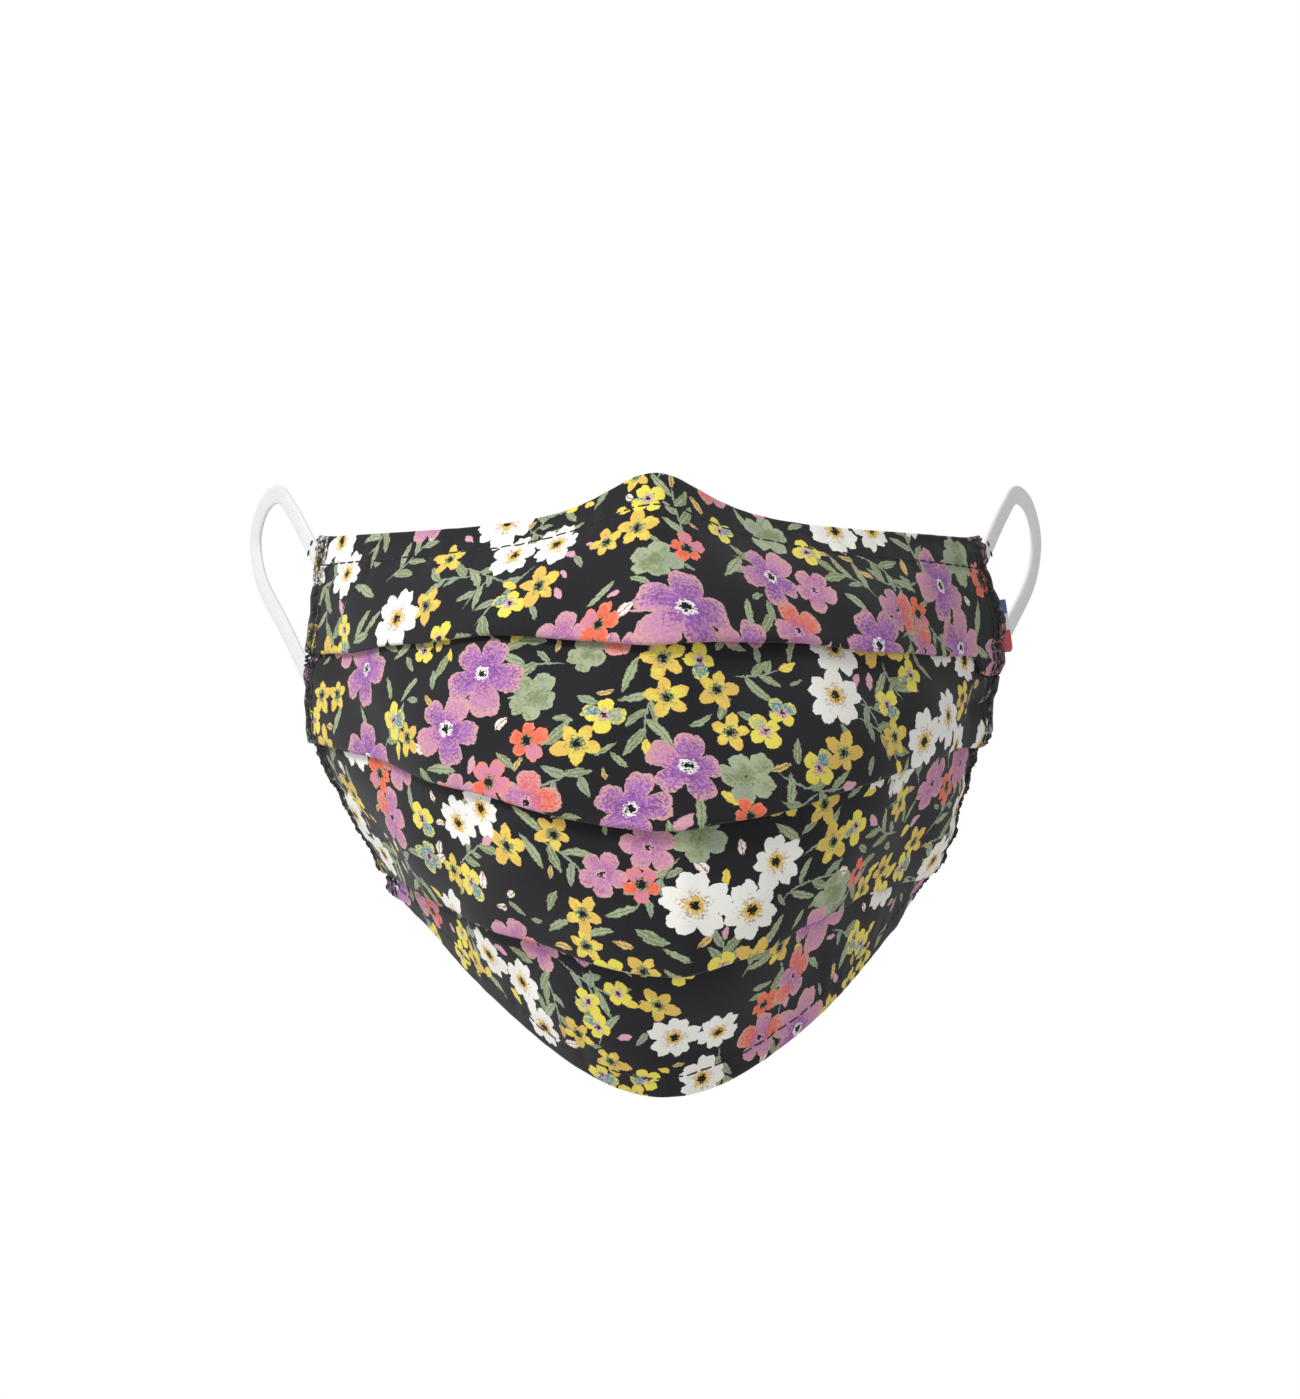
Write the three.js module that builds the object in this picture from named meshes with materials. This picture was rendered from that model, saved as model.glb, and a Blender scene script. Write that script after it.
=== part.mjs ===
// A worn cloth face mask: one pleated sheet of cloth, two bound side edges, two elastic ear loops and
// a small folded ribbon tab in the right edge.
// Millimetres. The front faces -Y, +X is on the right of someone who looks at the front, and +Z is up.
// The origin is the seat on the bridge of the nose: the inner face of the cloth at the middle of its
// top edge.

import * as THREE from "three";

// Form of the worn cloth
const clothWidth = 132.5; // between the two ends of the cloth, seen from the front
const maskHeight = 124.5; // from the top edge to the bottom edge at the middle, seen from the front
const sideSetback = 47; // how far the ends of the cloth lie behind the bridge of the nose
const noseReach = 16; // how far the cloth stands in front of the bridge over the tip of the nose
const noseRise = 12.3; // how far the top edge climbs from the cheeks to the bridge
const noseSpread = 14; // from the middle to where half of that climb is left

// Cloth, pleats and hems
const clothWall = 1;
const layerGap = 0.3; // air between the three layers of a pleat
const pleatDepth = 3; // how far each pleat is folded under at the middle
const hemWidth = 6;
const hemFold = 0.6; // cloth turned in behind the two hems

// Side edges, ear loops and tab
const pieceGap = 0.3; // clearance between neighbouring pieces
const edgeWidth = 5;
const edgeCorner = 0.5;
const strapWidth = 4;
const strapWall = 1;
const strapTuck = 4.2; // how much of each end of an ear loop is sewn behind the side edge
const upperTackDrop = 8; // from the top of the side edge to the middle of the upper strap end
const lowerTackRise = 9; // from the bottom of the side edge to the middle of the lower strap end
const earBehind = 58; // how far an ear loop reaches behind the ends of the cloth
const earBeside = 18.75; // how far the outermost point of an ear loop stands out beyond the cloth's ends
const earDrop = 1; // from the bridge of the nose down to the top of an ear loop
const earHeight = 48; // from the top of an ear loop down to the middle of its lower strand
const tabWidth = 10;
const tabReach = 5; // how far the tab stands out of the side edge
const tabDrop = 13.9; // from the top of the side edge to the tab
const ribbonWall = 0.5;

// How finely the curves are divided
const clothSteps = 32;
const rowSteps = 40;
const stripSteps = 60;
const edgeSteps = 14;
const strapSteps = 36;

// The cloth from its top edge to its bottom edge, one row for each edge or fold.
// middleDrop and sideDrop are shares of maskHeight below the origin, halfWidth is a share of half the
// clothWidth, and lean moves the middle of the row to the right by a share of clothWidth. rightSag is how
// much lower the right half of the row hangs, as a share of maskHeight. front and ridge are shares of
// noseReach, sideBack is a share of sideSetback, rise is a share of noseRise, spread is a share of
// noseSpread, and softness rounds the middle of the row's curve.
const rows = [
  {
    edge: "top",
    middleDrop: 0, sideDrop: 0.098, halfWidth: 0.98, lean: 0, rightSag: 0,
    front: 0, ridge: 0.55, sideBack: 0.97, rise: 1, spread: 1, softness: 0.4,
  },
  {
    edge: "fold 1",
    middleDrop: 0.277, sideDrop: 0.283, halfWidth: 1, lean: 0, rightSag: 0.016,
    front: 0.95, ridge: 0.36, sideBack: 1, rise: -0.3, spread: 1.3, softness: 0.6,
  },
  {
    edge: "fold 2",
    middleDrop: 0.564, sideDrop: 0.424, halfWidth: 0.985, lean: 0.005, rightSag: 0,
    front: 1.05, ridge: 0, sideBack: 1.05, rise: 0, spread: 2, softness: 0.3,
  },
  {
    edge: "fold 3",
    middleDrop: 0.787, sideDrop: 0.641, halfWidth: 0.8, lean: 0.014, rightSag: -0.02,
    front: 0.6, ridge: 0, sideBack: 1.13, rise: 0, spread: 2, softness: 0.4,
  },
  {
    edge: "bottom",
    middleDrop: 1, sideDrop: 0.69, halfWidth: 0.782, lean: 0.02, rightSag: 0.018,
    front: -0.55, ridge: 0, sideBack: 1.18, rise: 0, spread: 2, softness: 0.5,
  },
];
const foldRows = [1, 2, 3];

// Share of the setback that the plan of a row takes from its square term; the fourth power has the rest.
const planSquare = 0.55;

const bell = (x, spread) => 1 / (1 + (x / spread) ** 2);
const plan = (share) => planSquare * share ** 2 + (1 - planSquare) * share ** 4;
const rounded = (share, softness) =>
  (Math.hypot(share, softness) - softness) / (Math.hypot(1, softness) - softness);
const smooth = (share) => share * share * (3 - 2 * share);
const swell = (share) => (27 / 4) * share ** 2 * (1 - share); // 0 at both ends and 1 at two thirds
const steps = (count) => Array.from({ length: count + 1 }, (_, k) => k / count);
const between = (from, to, share) => from + (to - from) * share;

// A point of a row, where across runs from -1 at the left end to 1 at the right end.
function rowPoint(row, across) {
  const share = Math.abs(across);
  const x = (across * row.halfWidth * clothWidth) / 2 + row.lean * clothWidth * (1 - share ** 2);
  const offRidge = 1 - bell(x, row.spread * noseSpread);
  const cheekZ = -row.middleDrop * maskHeight - row.rise * noseRise;
  const middleY = -row.front * noseReach;
  const cheekY = middleY + row.ridge * noseReach;
  const climb = row.rise * noseRise * (1 - offRidge);
  const sag = row.rightSag * maskHeight * swell(Math.max(across, 0));
  const z = climb - sag + between(cheekZ, -row.sideDrop * maskHeight, rounded(share, row.softness));
  const y = (cheekY - middleY) * (offRidge - 1) + between(cheekY, row.sideBack * sideSetback, plan(share));
  return new THREE.Vector3(x, y, z);
}

const rowCurves = rows.map((row) => {
  const curve = new THREE.CatmullRomCurve3(steps(rowSteps).map((share) => rowPoint(row, 2 * share - 1)));
  curve.arcLengthDivisions = rowSteps * 8;
  return curve;
});

// The line down the cloth at a place across it: its curve, its length and how far down each row lies.
function lineDown(across) {
  const curve = new THREE.CatmullRomCurve3(rowCurves.map((row) => row.getPointAt((across + 1) / 2)));
  curve.arcLengthDivisions = stripSteps;
  const lengths = curve.getLengths();
  const rowDrops = rows.map((_, k) => lengths[(k * stripSteps) / (rows.length - 1)]);
  return { across, curve, length: lengths[stripSteps], rowDrops };
}

// Position and directions on the inner face of the cloth, a distance down a line.
const sideStep = 0.02;
function placeOn(line, down) {
  const t = line.curve.getUtoTmapping(THREE.MathUtils.clamp(down / line.length, 0, 1));
  const left = lineDown(Math.max(line.across - sideStep, -1)).curve.getPoint(t);
  const right = lineDown(Math.min(line.across + sideStep, 1)).curve.getPoint(t);
  const along = line.curve.getTangent(t);
  const out = new THREE.Vector3().crossVectors(along, right.sub(left)).normalize();
  return { point: line.curve.getPoint(t), along, out, across: new THREE.Vector3().crossVectors(out, along) };
}

const middleLine = lineDown(0);
const sideLine = lineDown(1);
const flatHeight = middleLine.length + 2 * foldRows.length * pleatDepth;
const layerPitch = clothWall + layerGap;

// Half a turn of the cloth, as points of its middle line: start and end are angles in degrees.
function turn(middleDown, middleOut, radius, start, end) {
  return steps(3).map((share) => {
    const angle = THREE.MathUtils.degToRad(between(start, end, share));
    return { down: middleDown + radius * Math.cos(angle), out: middleOut + radius * Math.sin(angle) };
  });
}

// The middle line of the cloth in a cut from top to bottom: each panel rises over the fold that it ends
// in, turns under, runs back up behind itself and turns down again as the next panel.
function pleatedLine(line) {
  const hidden = (flatHeight - line.length) / (2 * foldRows.length);
  const inner = clothWall / 2;
  const outer = inner + 2 * layerPitch;
  const radius = layerPitch / 2;
  const stations = [
    { down: 0, out: inner, hem: true },
    { down: hemWidth, out: inner, hem: true },
    { down: hemWidth + hemFold, out: inner },
  ];
  let panelTop = hemWidth + hemFold;
  for (const fold of foldRows) {
    const foldDown = line.rowDrops[fold];
    const riseEnd = foldDown - hidden - radius;
    const half = foldDown - hidden / 2;
    for (const share of [0.25, 0.5, 0.75, 1]) {
      stations.push({ down: between(panelTop, riseEnd, share), out: between(inner, outer, smooth(share)) });
    }
    stations.push({ down: half, out: outer });
    stations.push(...turn(foldDown - radius, outer - radius, radius, 90, -90));
    stations.push({ down: half, out: inner + layerPitch });
    stations.push(...turn(foldDown - hidden + radius, inner + radius, radius, 90, 270));
    stations.push({ down: half, out: inner });
    panelTop = foldDown + radius;
  }
  const lastFold = line.rowDrops[foldRows.at(-1)];
  const hemShare = hemWidth / (middleLine.length - middleLine.rowDrops[foldRows.at(-1)]);
  const lastPanel = line.length - lastFold;
  const hemTop = line.length - lastPanel * hemShare;
  const hemStep = Math.min(hemFold, 0.1 * lastPanel);
  stations.push({ down: panelTop, out: inner });
  stations.push({ down: between(panelTop, hemTop - hemStep, 0.5), out: inner });
  stations.push({ down: hemTop - hemStep, out: inner });
  stations.push({ down: hemTop, out: inner, hem: true });
  stations.push({ down: line.length, out: inner, hem: true });
  return stations;
}

// Both faces of a strip whose middle line is given: down its outer face and back up its inner face.
function stripRing(stations, wall, place) {
  const faces = stations.map((station, k) => {
    const before = stations[Math.max(k - 1, 0)];
    const after = stations[Math.min(k + 1, stations.length - 1)];
    const side = new THREE.Vector2(before.out - after.out, after.down - before.down).normalize();
    const behind = wall / 2 + (station.hem ? hemFold : 0);
    return {
      front: place(station.down + (side.x * wall) / 2, station.out + (side.y * wall) / 2),
      back: place(station.down - side.x * behind, station.out - side.y * behind),
    };
  });
  return [...faces.map((face) => face.front), ...faces.map((face) => face.back).reverse()];
}

// Triangles that close a strip's ring, anticlockwise about the way that the rings run.
function stripCap(size) {
  return steps(size / 2 - 1).slice(1).flatMap((_, k) => [
    [k, k + 1, size - 1 - k],
    [k + 1, size - 2 - k, size - 1 - k],
  ]);
}

const fanCap = (size) => Array.from({ length: size - 2 }, (_, k) => [0, k + 1, k + 2]);

// A closed body through rings of points that run anticlockwise about the way from the first to the last.
function loft(rings, cap) {
  const size = rings[0].length;
  const index = [];
  for (let ring = 0; ring < rings.length - 1; ring += 1) {
    for (let k = 0; k < size; k += 1) {
      const here = ring * size + k;
      const next = ring * size + ((k + 1) % size);
      index.push(here, next, here + size, next, next + size, here + size);
    }
  }
  const last = (rings.length - 1) * size;
  for (const [a, b, c] of cap) {
    index.push(a, c, b, last + a, last + b, last + c);
  }
  const geometry = new THREE.BufferGeometry();
  const places = rings.flat().flatMap((point) => point.toArray());
  geometry.setAttribute("position", new THREE.Float32BufferAttribute(places, 3));
  geometry.setIndex(index);
  return geometry;
}

function mirrored(geometry) {
  const copy = geometry.clone().scale(-1, 1, 1);
  const index = copy.getIndex().array;
  for (let k = 0; k < index.length; k += 3) {
    [index[k], index[k + 1]] = [index[k + 1], index[k]];
  }
  return copy;
}

// The sheet of cloth
function clothRing(across) {
  const line = lineDown(across);
  return stripRing(pleatedLine(line), clothWall, (down, out) => {
    const on = placeOn(line, down);
    const beyond = down - THREE.MathUtils.clamp(down, 0, line.length);
    return on.point.addScaledVector(on.out, out).addScaledVector(on.along, beyond);
  });
}

// Cuts across the cloth stand closer together over the nose.
const nearMiddle = 0.7;
const cuts = steps(clothSteps).map((share) => {
  const even = 2 * share - 1;
  return even * between(nearMiddle, 1, even ** 2);
});
const clothRings = cuts.map(clothRing);
const clothBody = loft(clothRings, stripCap(clothRings[0].length));

// A point beside the right end of the cloth: down the edge, beyond the cloth's end, and out of its face.
function besideEdge(down, beyond, out) {
  const on = placeOn(sideLine, down);
  return on.point.addScaledVector(on.across, beyond).addScaledVector(on.out, out);
}

// The bound side edge, as thick as the three layers that it holds
const edgeBack = -clothWall / 10;
const edgeFront = 2 * layerPitch + clothWall - edgeBack;
const edgeStart = pieceGap;
const edgeEnd = edgeStart + edgeWidth;
const edgeOutline = [
  [edgeStart, edgeBack],
  [edgeEnd - edgeCorner, edgeBack],
  [edgeEnd, edgeBack + edgeCorner],
  [edgeEnd, edgeFront - edgeCorner],
  [edgeEnd - edgeCorner, edgeFront],
  [edgeStart, edgeFront],
];
const edgeRings = steps(edgeSteps).map((share) =>
  edgeOutline.map(([beyond, out]) => besideEdge(share * sideLine.length, beyond, out)),
);
const edgeBody = loft(edgeRings, fanCap(edgeOutline.length));

// The ear loop: both ends lie behind the side edge, and it runs back, round the ear and forward again.
const strapOut = edgeBack - pieceGap - strapWall / 2;
const strapIn = edgeEnd - strapTuck;
const lowerDown = sideLine.length - lowerTackRise;
const upperTack = besideEdge(upperTackDrop, strapIn, strapOut);
const upperLeave = besideEdge(upperTackDrop - strapTuck / 2, edgeEnd + pieceGap, strapOut);
const lowerLeave = besideEdge(lowerDown - strapTuck / 2, edgeEnd + pieceGap, strapOut);
const lowerTack = besideEdge(lowerDown, strapIn, strapOut);

// Points round the ear: out is a share of the way from the middle of the face to the outermost point,
// back a share of earBehind behind the ends of the cloth, and down a share of earHeight below the top.
const earPoints = [
  { out: 0.885, back: 0.45, down: 0.085 },
  { out: 0.93, back: 0.72, down: 0 },
  { out: 0.972, back: 0.9, down: 0.06 },
  { out: 0.993, back: 1, down: 0.2 },
  { out: 0.978, back: 0.96, down: 0.37 },
  { out: 0.907, back: 0.82, down: 0.617 },
  { out: 0.8, back: 0.565, down: 1 },
];
const earSpread = clothWidth / 2 + earBeside;
const strapPath = new THREE.CatmullRomCurve3([
  upperTack,
  upperLeave,
  ...earPoints.map(
    ({ out, back, down }) =>
      new THREE.Vector3(out * earSpread, sideSetback + back * earBehind, -earDrop - down * earHeight),
  ),
  lowerLeave,
  lowerTack,
]);
const strapOutline = [
  [-0.5, -0.3],
  [-0.42, -0.5],
  [0.42, -0.5],
  [0.5, -0.3],
  [0.5, 0.3],
  [0.42, 0.5],
  [-0.42, 0.5],
  [-0.5, 0.3],
];
const strapRings = steps(strapSteps).map((share) => {
  const point = strapPath.getPointAt(share);
  const along = strapPath.getTangentAt(share);
  const upper = placeOn(sideLine, upperTackDrop).out;
  const lower = placeOn(sideLine, lowerDown).out;
  const facing = upper.lerp(lower, smooth(share));
  const wide = new THREE.Vector3().crossVectors(facing, along).normalize();
  const thick = new THREE.Vector3().crossVectors(along, wide);
  return strapOutline.map(([across, through]) =>
    point.clone().addScaledVector(wide, across * strapWidth).addScaledVector(thick, through * strapWall),
  );
});
const strapBody = loft(strapRings, fanCap(strapOutline.length));

// The ribbon tab: folded in half with its fold outwards, and its ends against the side edge
const tabOut = (edgeBack + edgeFront) / 2;
const tabRadius = (ribbonWall + pieceGap) / 2;
const tabStart = edgeEnd + pieceGap;
const tabTurn = tabStart + tabReach - tabRadius - ribbonWall / 2;
const tabStations = [
  { down: tabStart, out: tabOut + tabRadius },
  ...turn(tabTurn, tabOut, tabRadius, 90, -90),
  { down: tabStart, out: tabOut - tabRadius },
];
const tabRings = steps(2).map((share) => {
  const down = tabDrop + (1 - share) * tabWidth;
  return stripRing(tabStations, ribbonWall, (beyond, out) => besideEdge(down, beyond, out));
});
const tabBody = loft(tabRings, stripCap(tabRings[0].length));

// Materials
const printedCotton = new THREE.MeshStandardMaterial({ color: 0x2b2a30, roughness: 0.9, metalness: 0 });
const blackThread = new THREE.MeshStandardMaterial({ color: 0x141416, roughness: 0.85, metalness: 0 });
const paleElastic = new THREE.MeshStandardMaterial({ color: 0xdcdcda, roughness: 0.8, metalness: 0 });
const wovenRibbon = new THREE.MeshStandardMaterial({ color: 0xc8c8d0, roughness: 0.7, metalness: 0 });

const mask = new THREE.Group();
function addPiece(name, geometry, material) {
  const mesh = new THREE.Mesh(geometry, material);
  mesh.name = name;
  mask.add(mesh);
}
addPiece("mask_cloth", clothBody, printedCotton);
addPiece("side_edge_right", edgeBody, blackThread);
addPiece("side_edge_left", mirrored(edgeBody), blackThread);
addPiece("ear_loop_right", strapBody, paleElastic);
addPiece("ear_loop_left", mirrored(strapBody), paleElastic);
addPiece("side_tab", tabBody, wovenRibbon);

// The hem's inner face at the middle of the top edge goes to the origin.
mask.position.copy(clothRings[clothSteps / 2].at(-1)).negate();

export default mask;
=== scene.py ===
"""A worn cloth face mask: pleated printed cotton, bound side edges, ear loops and a ribbon tab."""

import math
from collections import namedtuple
from functools import lru_cache

import bmesh
import bpy
import numpy as np
from bpy.props import FloatProperty, FloatVectorProperty, IntProperty, PointerProperty
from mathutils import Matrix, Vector


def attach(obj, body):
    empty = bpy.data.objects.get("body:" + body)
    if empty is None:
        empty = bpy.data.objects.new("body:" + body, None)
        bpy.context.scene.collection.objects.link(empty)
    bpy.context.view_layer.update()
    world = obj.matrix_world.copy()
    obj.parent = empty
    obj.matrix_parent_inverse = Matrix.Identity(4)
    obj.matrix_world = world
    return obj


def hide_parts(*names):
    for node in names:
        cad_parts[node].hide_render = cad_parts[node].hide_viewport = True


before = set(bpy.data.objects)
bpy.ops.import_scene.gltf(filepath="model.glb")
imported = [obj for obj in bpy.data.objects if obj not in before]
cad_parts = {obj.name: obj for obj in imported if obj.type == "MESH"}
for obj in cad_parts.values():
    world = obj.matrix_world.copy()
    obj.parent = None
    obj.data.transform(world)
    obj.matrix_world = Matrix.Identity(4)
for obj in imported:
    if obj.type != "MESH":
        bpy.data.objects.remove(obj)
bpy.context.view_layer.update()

bl_info = {
    "name": "Pleated cloth face mask",
    "version": (1, 0, 0),
    "blender": (4, 5, 0),
    "location": "View3D > Sidebar > Face mask",
    "description": "Builds a worn pleated face mask of printed cotton around its frame",
    "category": "Add Mesh",
}

MM = 0.001
TAU = 2 * math.pi
BODY = "root"
SIDES = ((-1, "left"), (1, "right"))

# The worn form in millimetres, with the same driving sizes as the solids that the pieces replace
CLOTH_WIDTH = 132.5
MASK_HEIGHT = 124.5
SIDE_SETBACK = 47
NOSE_REACH = 16
NOSE_RISE = 12.3
NOSE_SPREAD = 14
PLEAT_DEPTH = 3
HEM_WIDTH = 6
SEAT_DEPTH = 0.6
PIECE_GAP = 0.3
EDGE_WIDTH = 5
EDGE_BACK = -0.1
EDGE_FRONT = 3.7
STRAP_WIDTH = 4
STRAP_TUCK = 4.2
UPPER_TACK_DROP = 8
LOWER_TACK_RISE = 9
EAR_BEHIND = 58
EAR_BESIDE = 18.75
EAR_DROP = 1
EAR_HEIGHT = 48
TAB_WIDTH = 10
TAB_REACH = 5
TAB_DROP = 13.9
PLAN_SQUARE = 0.55

# One row for each edge or fold, from the top edge to the bottom edge, with drops as shares of the mask's
# height, half width and lean as shares of the cloth's width, front and ridge as shares of the nose's reach
Row = namedtuple(
    "Row", "middle_drop side_drop half_width lean right_sag front ridge side_back rise spread softness"
)
ROWS = (
    Row(0, 0.098, 0.98, 0, 0, 0, 0.55, 0.97, 1, 1, 0.4),
    Row(0.277, 0.283, 1, 0, 0.016, 0.95, 0.36, 1, -0.3, 1.3, 0.6),
    Row(0.564, 0.424, 0.985, 0.005, 0, 1.05, 0, 1.05, 0, 2, 0.3),
    Row(0.787, 0.641, 0.8, 0.014, -0.02, 0.6, 0, 1.13, 0, 2, 0.4),
    Row(1, 0.69, 0.782, 0.02, 0.018, -0.55, 0, 1.18, 0, 2, 0.5),
)
FOLDS = (1, 2, 3)

# Route of an ear loop round the ear, as shares of its reach out, back and down
EarPoint = namedtuple("EarPoint", "out back down")
EAR_POINTS = (
    EarPoint(0.885, 0.45, 0.085),
    EarPoint(0.93, 0.72, 0),
    EarPoint(0.972, 0.9, 0.06),
    EarPoint(0.993, 1, 0.2),
    EarPoint(0.978, 0.96, 0.37),
    EarPoint(0.907, 0.82, 0.617),
    EarPoint(0.8, 0.565, 1),
)

# Where the worn cloth stands proud of its plain form or sinks in, with places and spreads as shares of
# half the cloth's flat width and of each cut's length, and heights in millimetres. The upper fold's tuck
# and the hems' ends slope off over their own lengths.
FullPlace = namedtuple("FullPlace", "across down wide tall height")
FULL_PLACES = (
    FullPlace(1.05, 0.28, 0.13, 0.12, 3.4),
    FullPlace(0.95, 0.43, 0.05, 0.045, -1.6),
    FullPlace(1.0, 0.85, 0.24, 0.16, 3.4),
    FullPlace(-1.03, 0.57, 0.15, 0.09, 1.9),
    FullPlace(-0.22, 0.92, 0.18, 0.08, 1.2),
    FullPlace(-0.85, 1, 0.2, 0.12, -1.3),
    FullPlace(0.25, 0.95, 0.22, 0.09, -1.3),
)
TUCK_REACH = 9
HEM_SLOPE = 1.5

# Wavelengths in millimetres of the puckers at the hems, the gathers at the sides and the broad waves, how
# far puckers and gathers reach from their seams, and the place and spread of the crease below the nose
UPPER_RIPPLES = (4.4, 5.7, 7.9)
LOWER_RIPPLES = (4.9, 6.6, 9.1)
GATHER_RIPPLES = (5.3, 7.1, 11.3)
RISING_WAVES = (34, 47)
FALLING_WAVES = (29, 52)
PUCKER_REACH = 5
GATHER_REACH = 11
CREASE_PLACE = 5
CREASE_SPREAD = 5

# How finely the cloth is divided
LINE_STEPS = 40
COLUMNS = 198
BAND_COLUMNS = 6
PANEL_STEPS = (34, 34, 26, 28)
LAP_STEPS = 7
TURN_STEPS = 5
RIM_SHARES = (0.15, 0.5, 0.85)

# The elastic, with the way that its flat face looks
STRAP_FACING = (0.82, -0.57)
STRAP_STEPS = 200
STRAP_AROUND = 20
STRAP_SQUARE = 0.6
RIB_PITCH = 0.55
KNIT_PITCH = 0.7

# The ribbon: how deep it is sewn in, the bend of its fold, its rounded lower corner and its bands
TAB_STEPS = 24
TAB_LINE_STEPS = 8
TAB_SEWN = 0.8
TAB_FORWARD = 0.2
TAB_BEND = 0.42
TAB_CORNER = 1.3
TAB_CORNER_START = 0.86
RIBBON_RIB = 0.45
BLUE_SHARE = 0.27
WHITE_SHARE = 0.58

# The threads: rows of topstitches, the tacks of the ear loops, and each side edge's needle lines and
# overlock, whose loops go by shares of a stitch, by distances out of the cloth's end and by face
TOP_STITCH_DROP = 5.6
TOP_STITCH_DIP = 1.4
BOTTOM_STITCH_RISE = 4.8
BOTTOM_STITCH_DIP = 0.35
TACK_PLACE = 12.6
TACK_STITCH = 1.3
TACK_GAP = 1.1
NEEDLE_BEYOND = 1.9
SEAM_BEYOND = 0.2
NEEDLE_STITCH_SHARE = 0.8
NEEDLE_GAP = 0.35
LOOPER_SHARE = 0.45
CHAIN_SHARE = 0.55
CHAIN_END = 0.3
CHAIN_BEYOND = 0.2
CHAIN_SWAY = 0.1
CHAIN_LIFT = 0.35
OVERLOCK_LOOP = (
    (0.0, 1.9, "front"),
    (0.2, 3.7, "front"),
    (0.4, 5.5, "edge"),
    (0.45, 3.7, "back"),
    (0.5, 1.9, "back"),
    (0.55, 3.7, "back"),
    (0.6, 5.5, "edge"),
    (0.8, 3.7, "front"),
)

# The photo's frame, how its pixels lie on the object, and the camera
PHOTO_HEIGHT = 1399
PHOTO_WIDTH = 1300
MM_PER_PIXEL = 0.2003
MIDDLE_PIXEL = 655
TOP_PIXEL = 477
CAMERA_DISTANCE = 1300
CAMERA_TURN = math.radians(-1)
FILM_HEIGHT = 36

# The light and the floor, with places and lengths in metres
WORLD_LIGHT = 0.49
KEY_SIZE = 0.42
KEY_ENERGY = 15.5
KEY_PLACE = (-0.85, -0.84, 0.9)
KEY_AIM = (0, 0, -0.06)
FLOOR_RADIUS = 0.8
FLOOR_HEIGHT = -0.3
FLOOR_COLOUR = (0.85, 0.85, 0.85, 1)


# Sizes and colours


def paint(red, green, blue):
    """Screen colour from 0 to 255, as the linear colour that a shader takes."""
    return tuple(
        share / 12.92 if share <= 0.04045 else ((share + 0.055) / 1.055) ** 2.4
        for share in (red / 255, green / 255, blue / 255)
    )


def colour_property(name, description, red, green, blue):
    return FloatVectorProperty(
        name=name,
        description=description,
        subtype="COLOR",
        size=3,
        min=0,
        max=1,
        default=paint(red, green, blue),
    )


def length_property(name, description, millimetres):
    return FloatProperty(
        name=name,
        description=description,
        default=millimetres * MM,
        min=0,
        subtype="DISTANCE",
        unit="LENGTH",
        precision=5,
    )


class MaskSizes(bpy.types.PropertyGroup):
    """Sizes of the cloth's finish."""

    cloth_wall: length_property("Cloth", "Thickness of the cloth", 0.5)
    side_pitch: length_property("Lap at the sides", "Layer to layer at the ends of a pleat", 0.75)
    middle_pitch: length_property("Lap at the middle", "Layer to layer at the middle of a pleat", 1.5)
    hem_fold: length_property("Hem", "Cloth turned in behind the hems", 0.45)
    pucker: length_property("Puckers", "Height of the puckers along the hems' stitching", 0.22)
    gather: length_property("Gathers", "Height of the gathers along the side edges", 0.45)
    crease: length_property("Crease", "Height of the crease down the middle", 1.1)
    sag: length_property("Waves", "Height of the broad waves of the cloth", 0.7)
    tuck: length_property("Tuck", "Drop of the upper fold at its right end", 3.2)
    middle_lift: length_property("Clearance at the middle", "Air behind the cloth at its middle", 0.3)
    side_lift: length_property("Clearance at the sides", "Padding behind the cloth at its sides", 1.2)
    stitch_length: length_property("Stitch", "Length of a topstitch", 2.4)
    stitch_gap: length_property("Stitch gap", "Cloth between two topstitches", 0.7)
    thread: length_property("Thread", "Thickness of the sewing thread", 0.4)
    overlock_pitch: length_property("Overlock", "Distance between the overlock's stitches", 1.9)
    strap_wall: length_property("Elastic", "Thickness of the ear loops", 0.95)
    ribbon_wall: length_property("Ribbon", "Thickness of the tab's ribbon", 0.36)
    print_seed: IntProperty(name="Print", description="Layout of the printed flowers", default=91, min=0)


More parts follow.
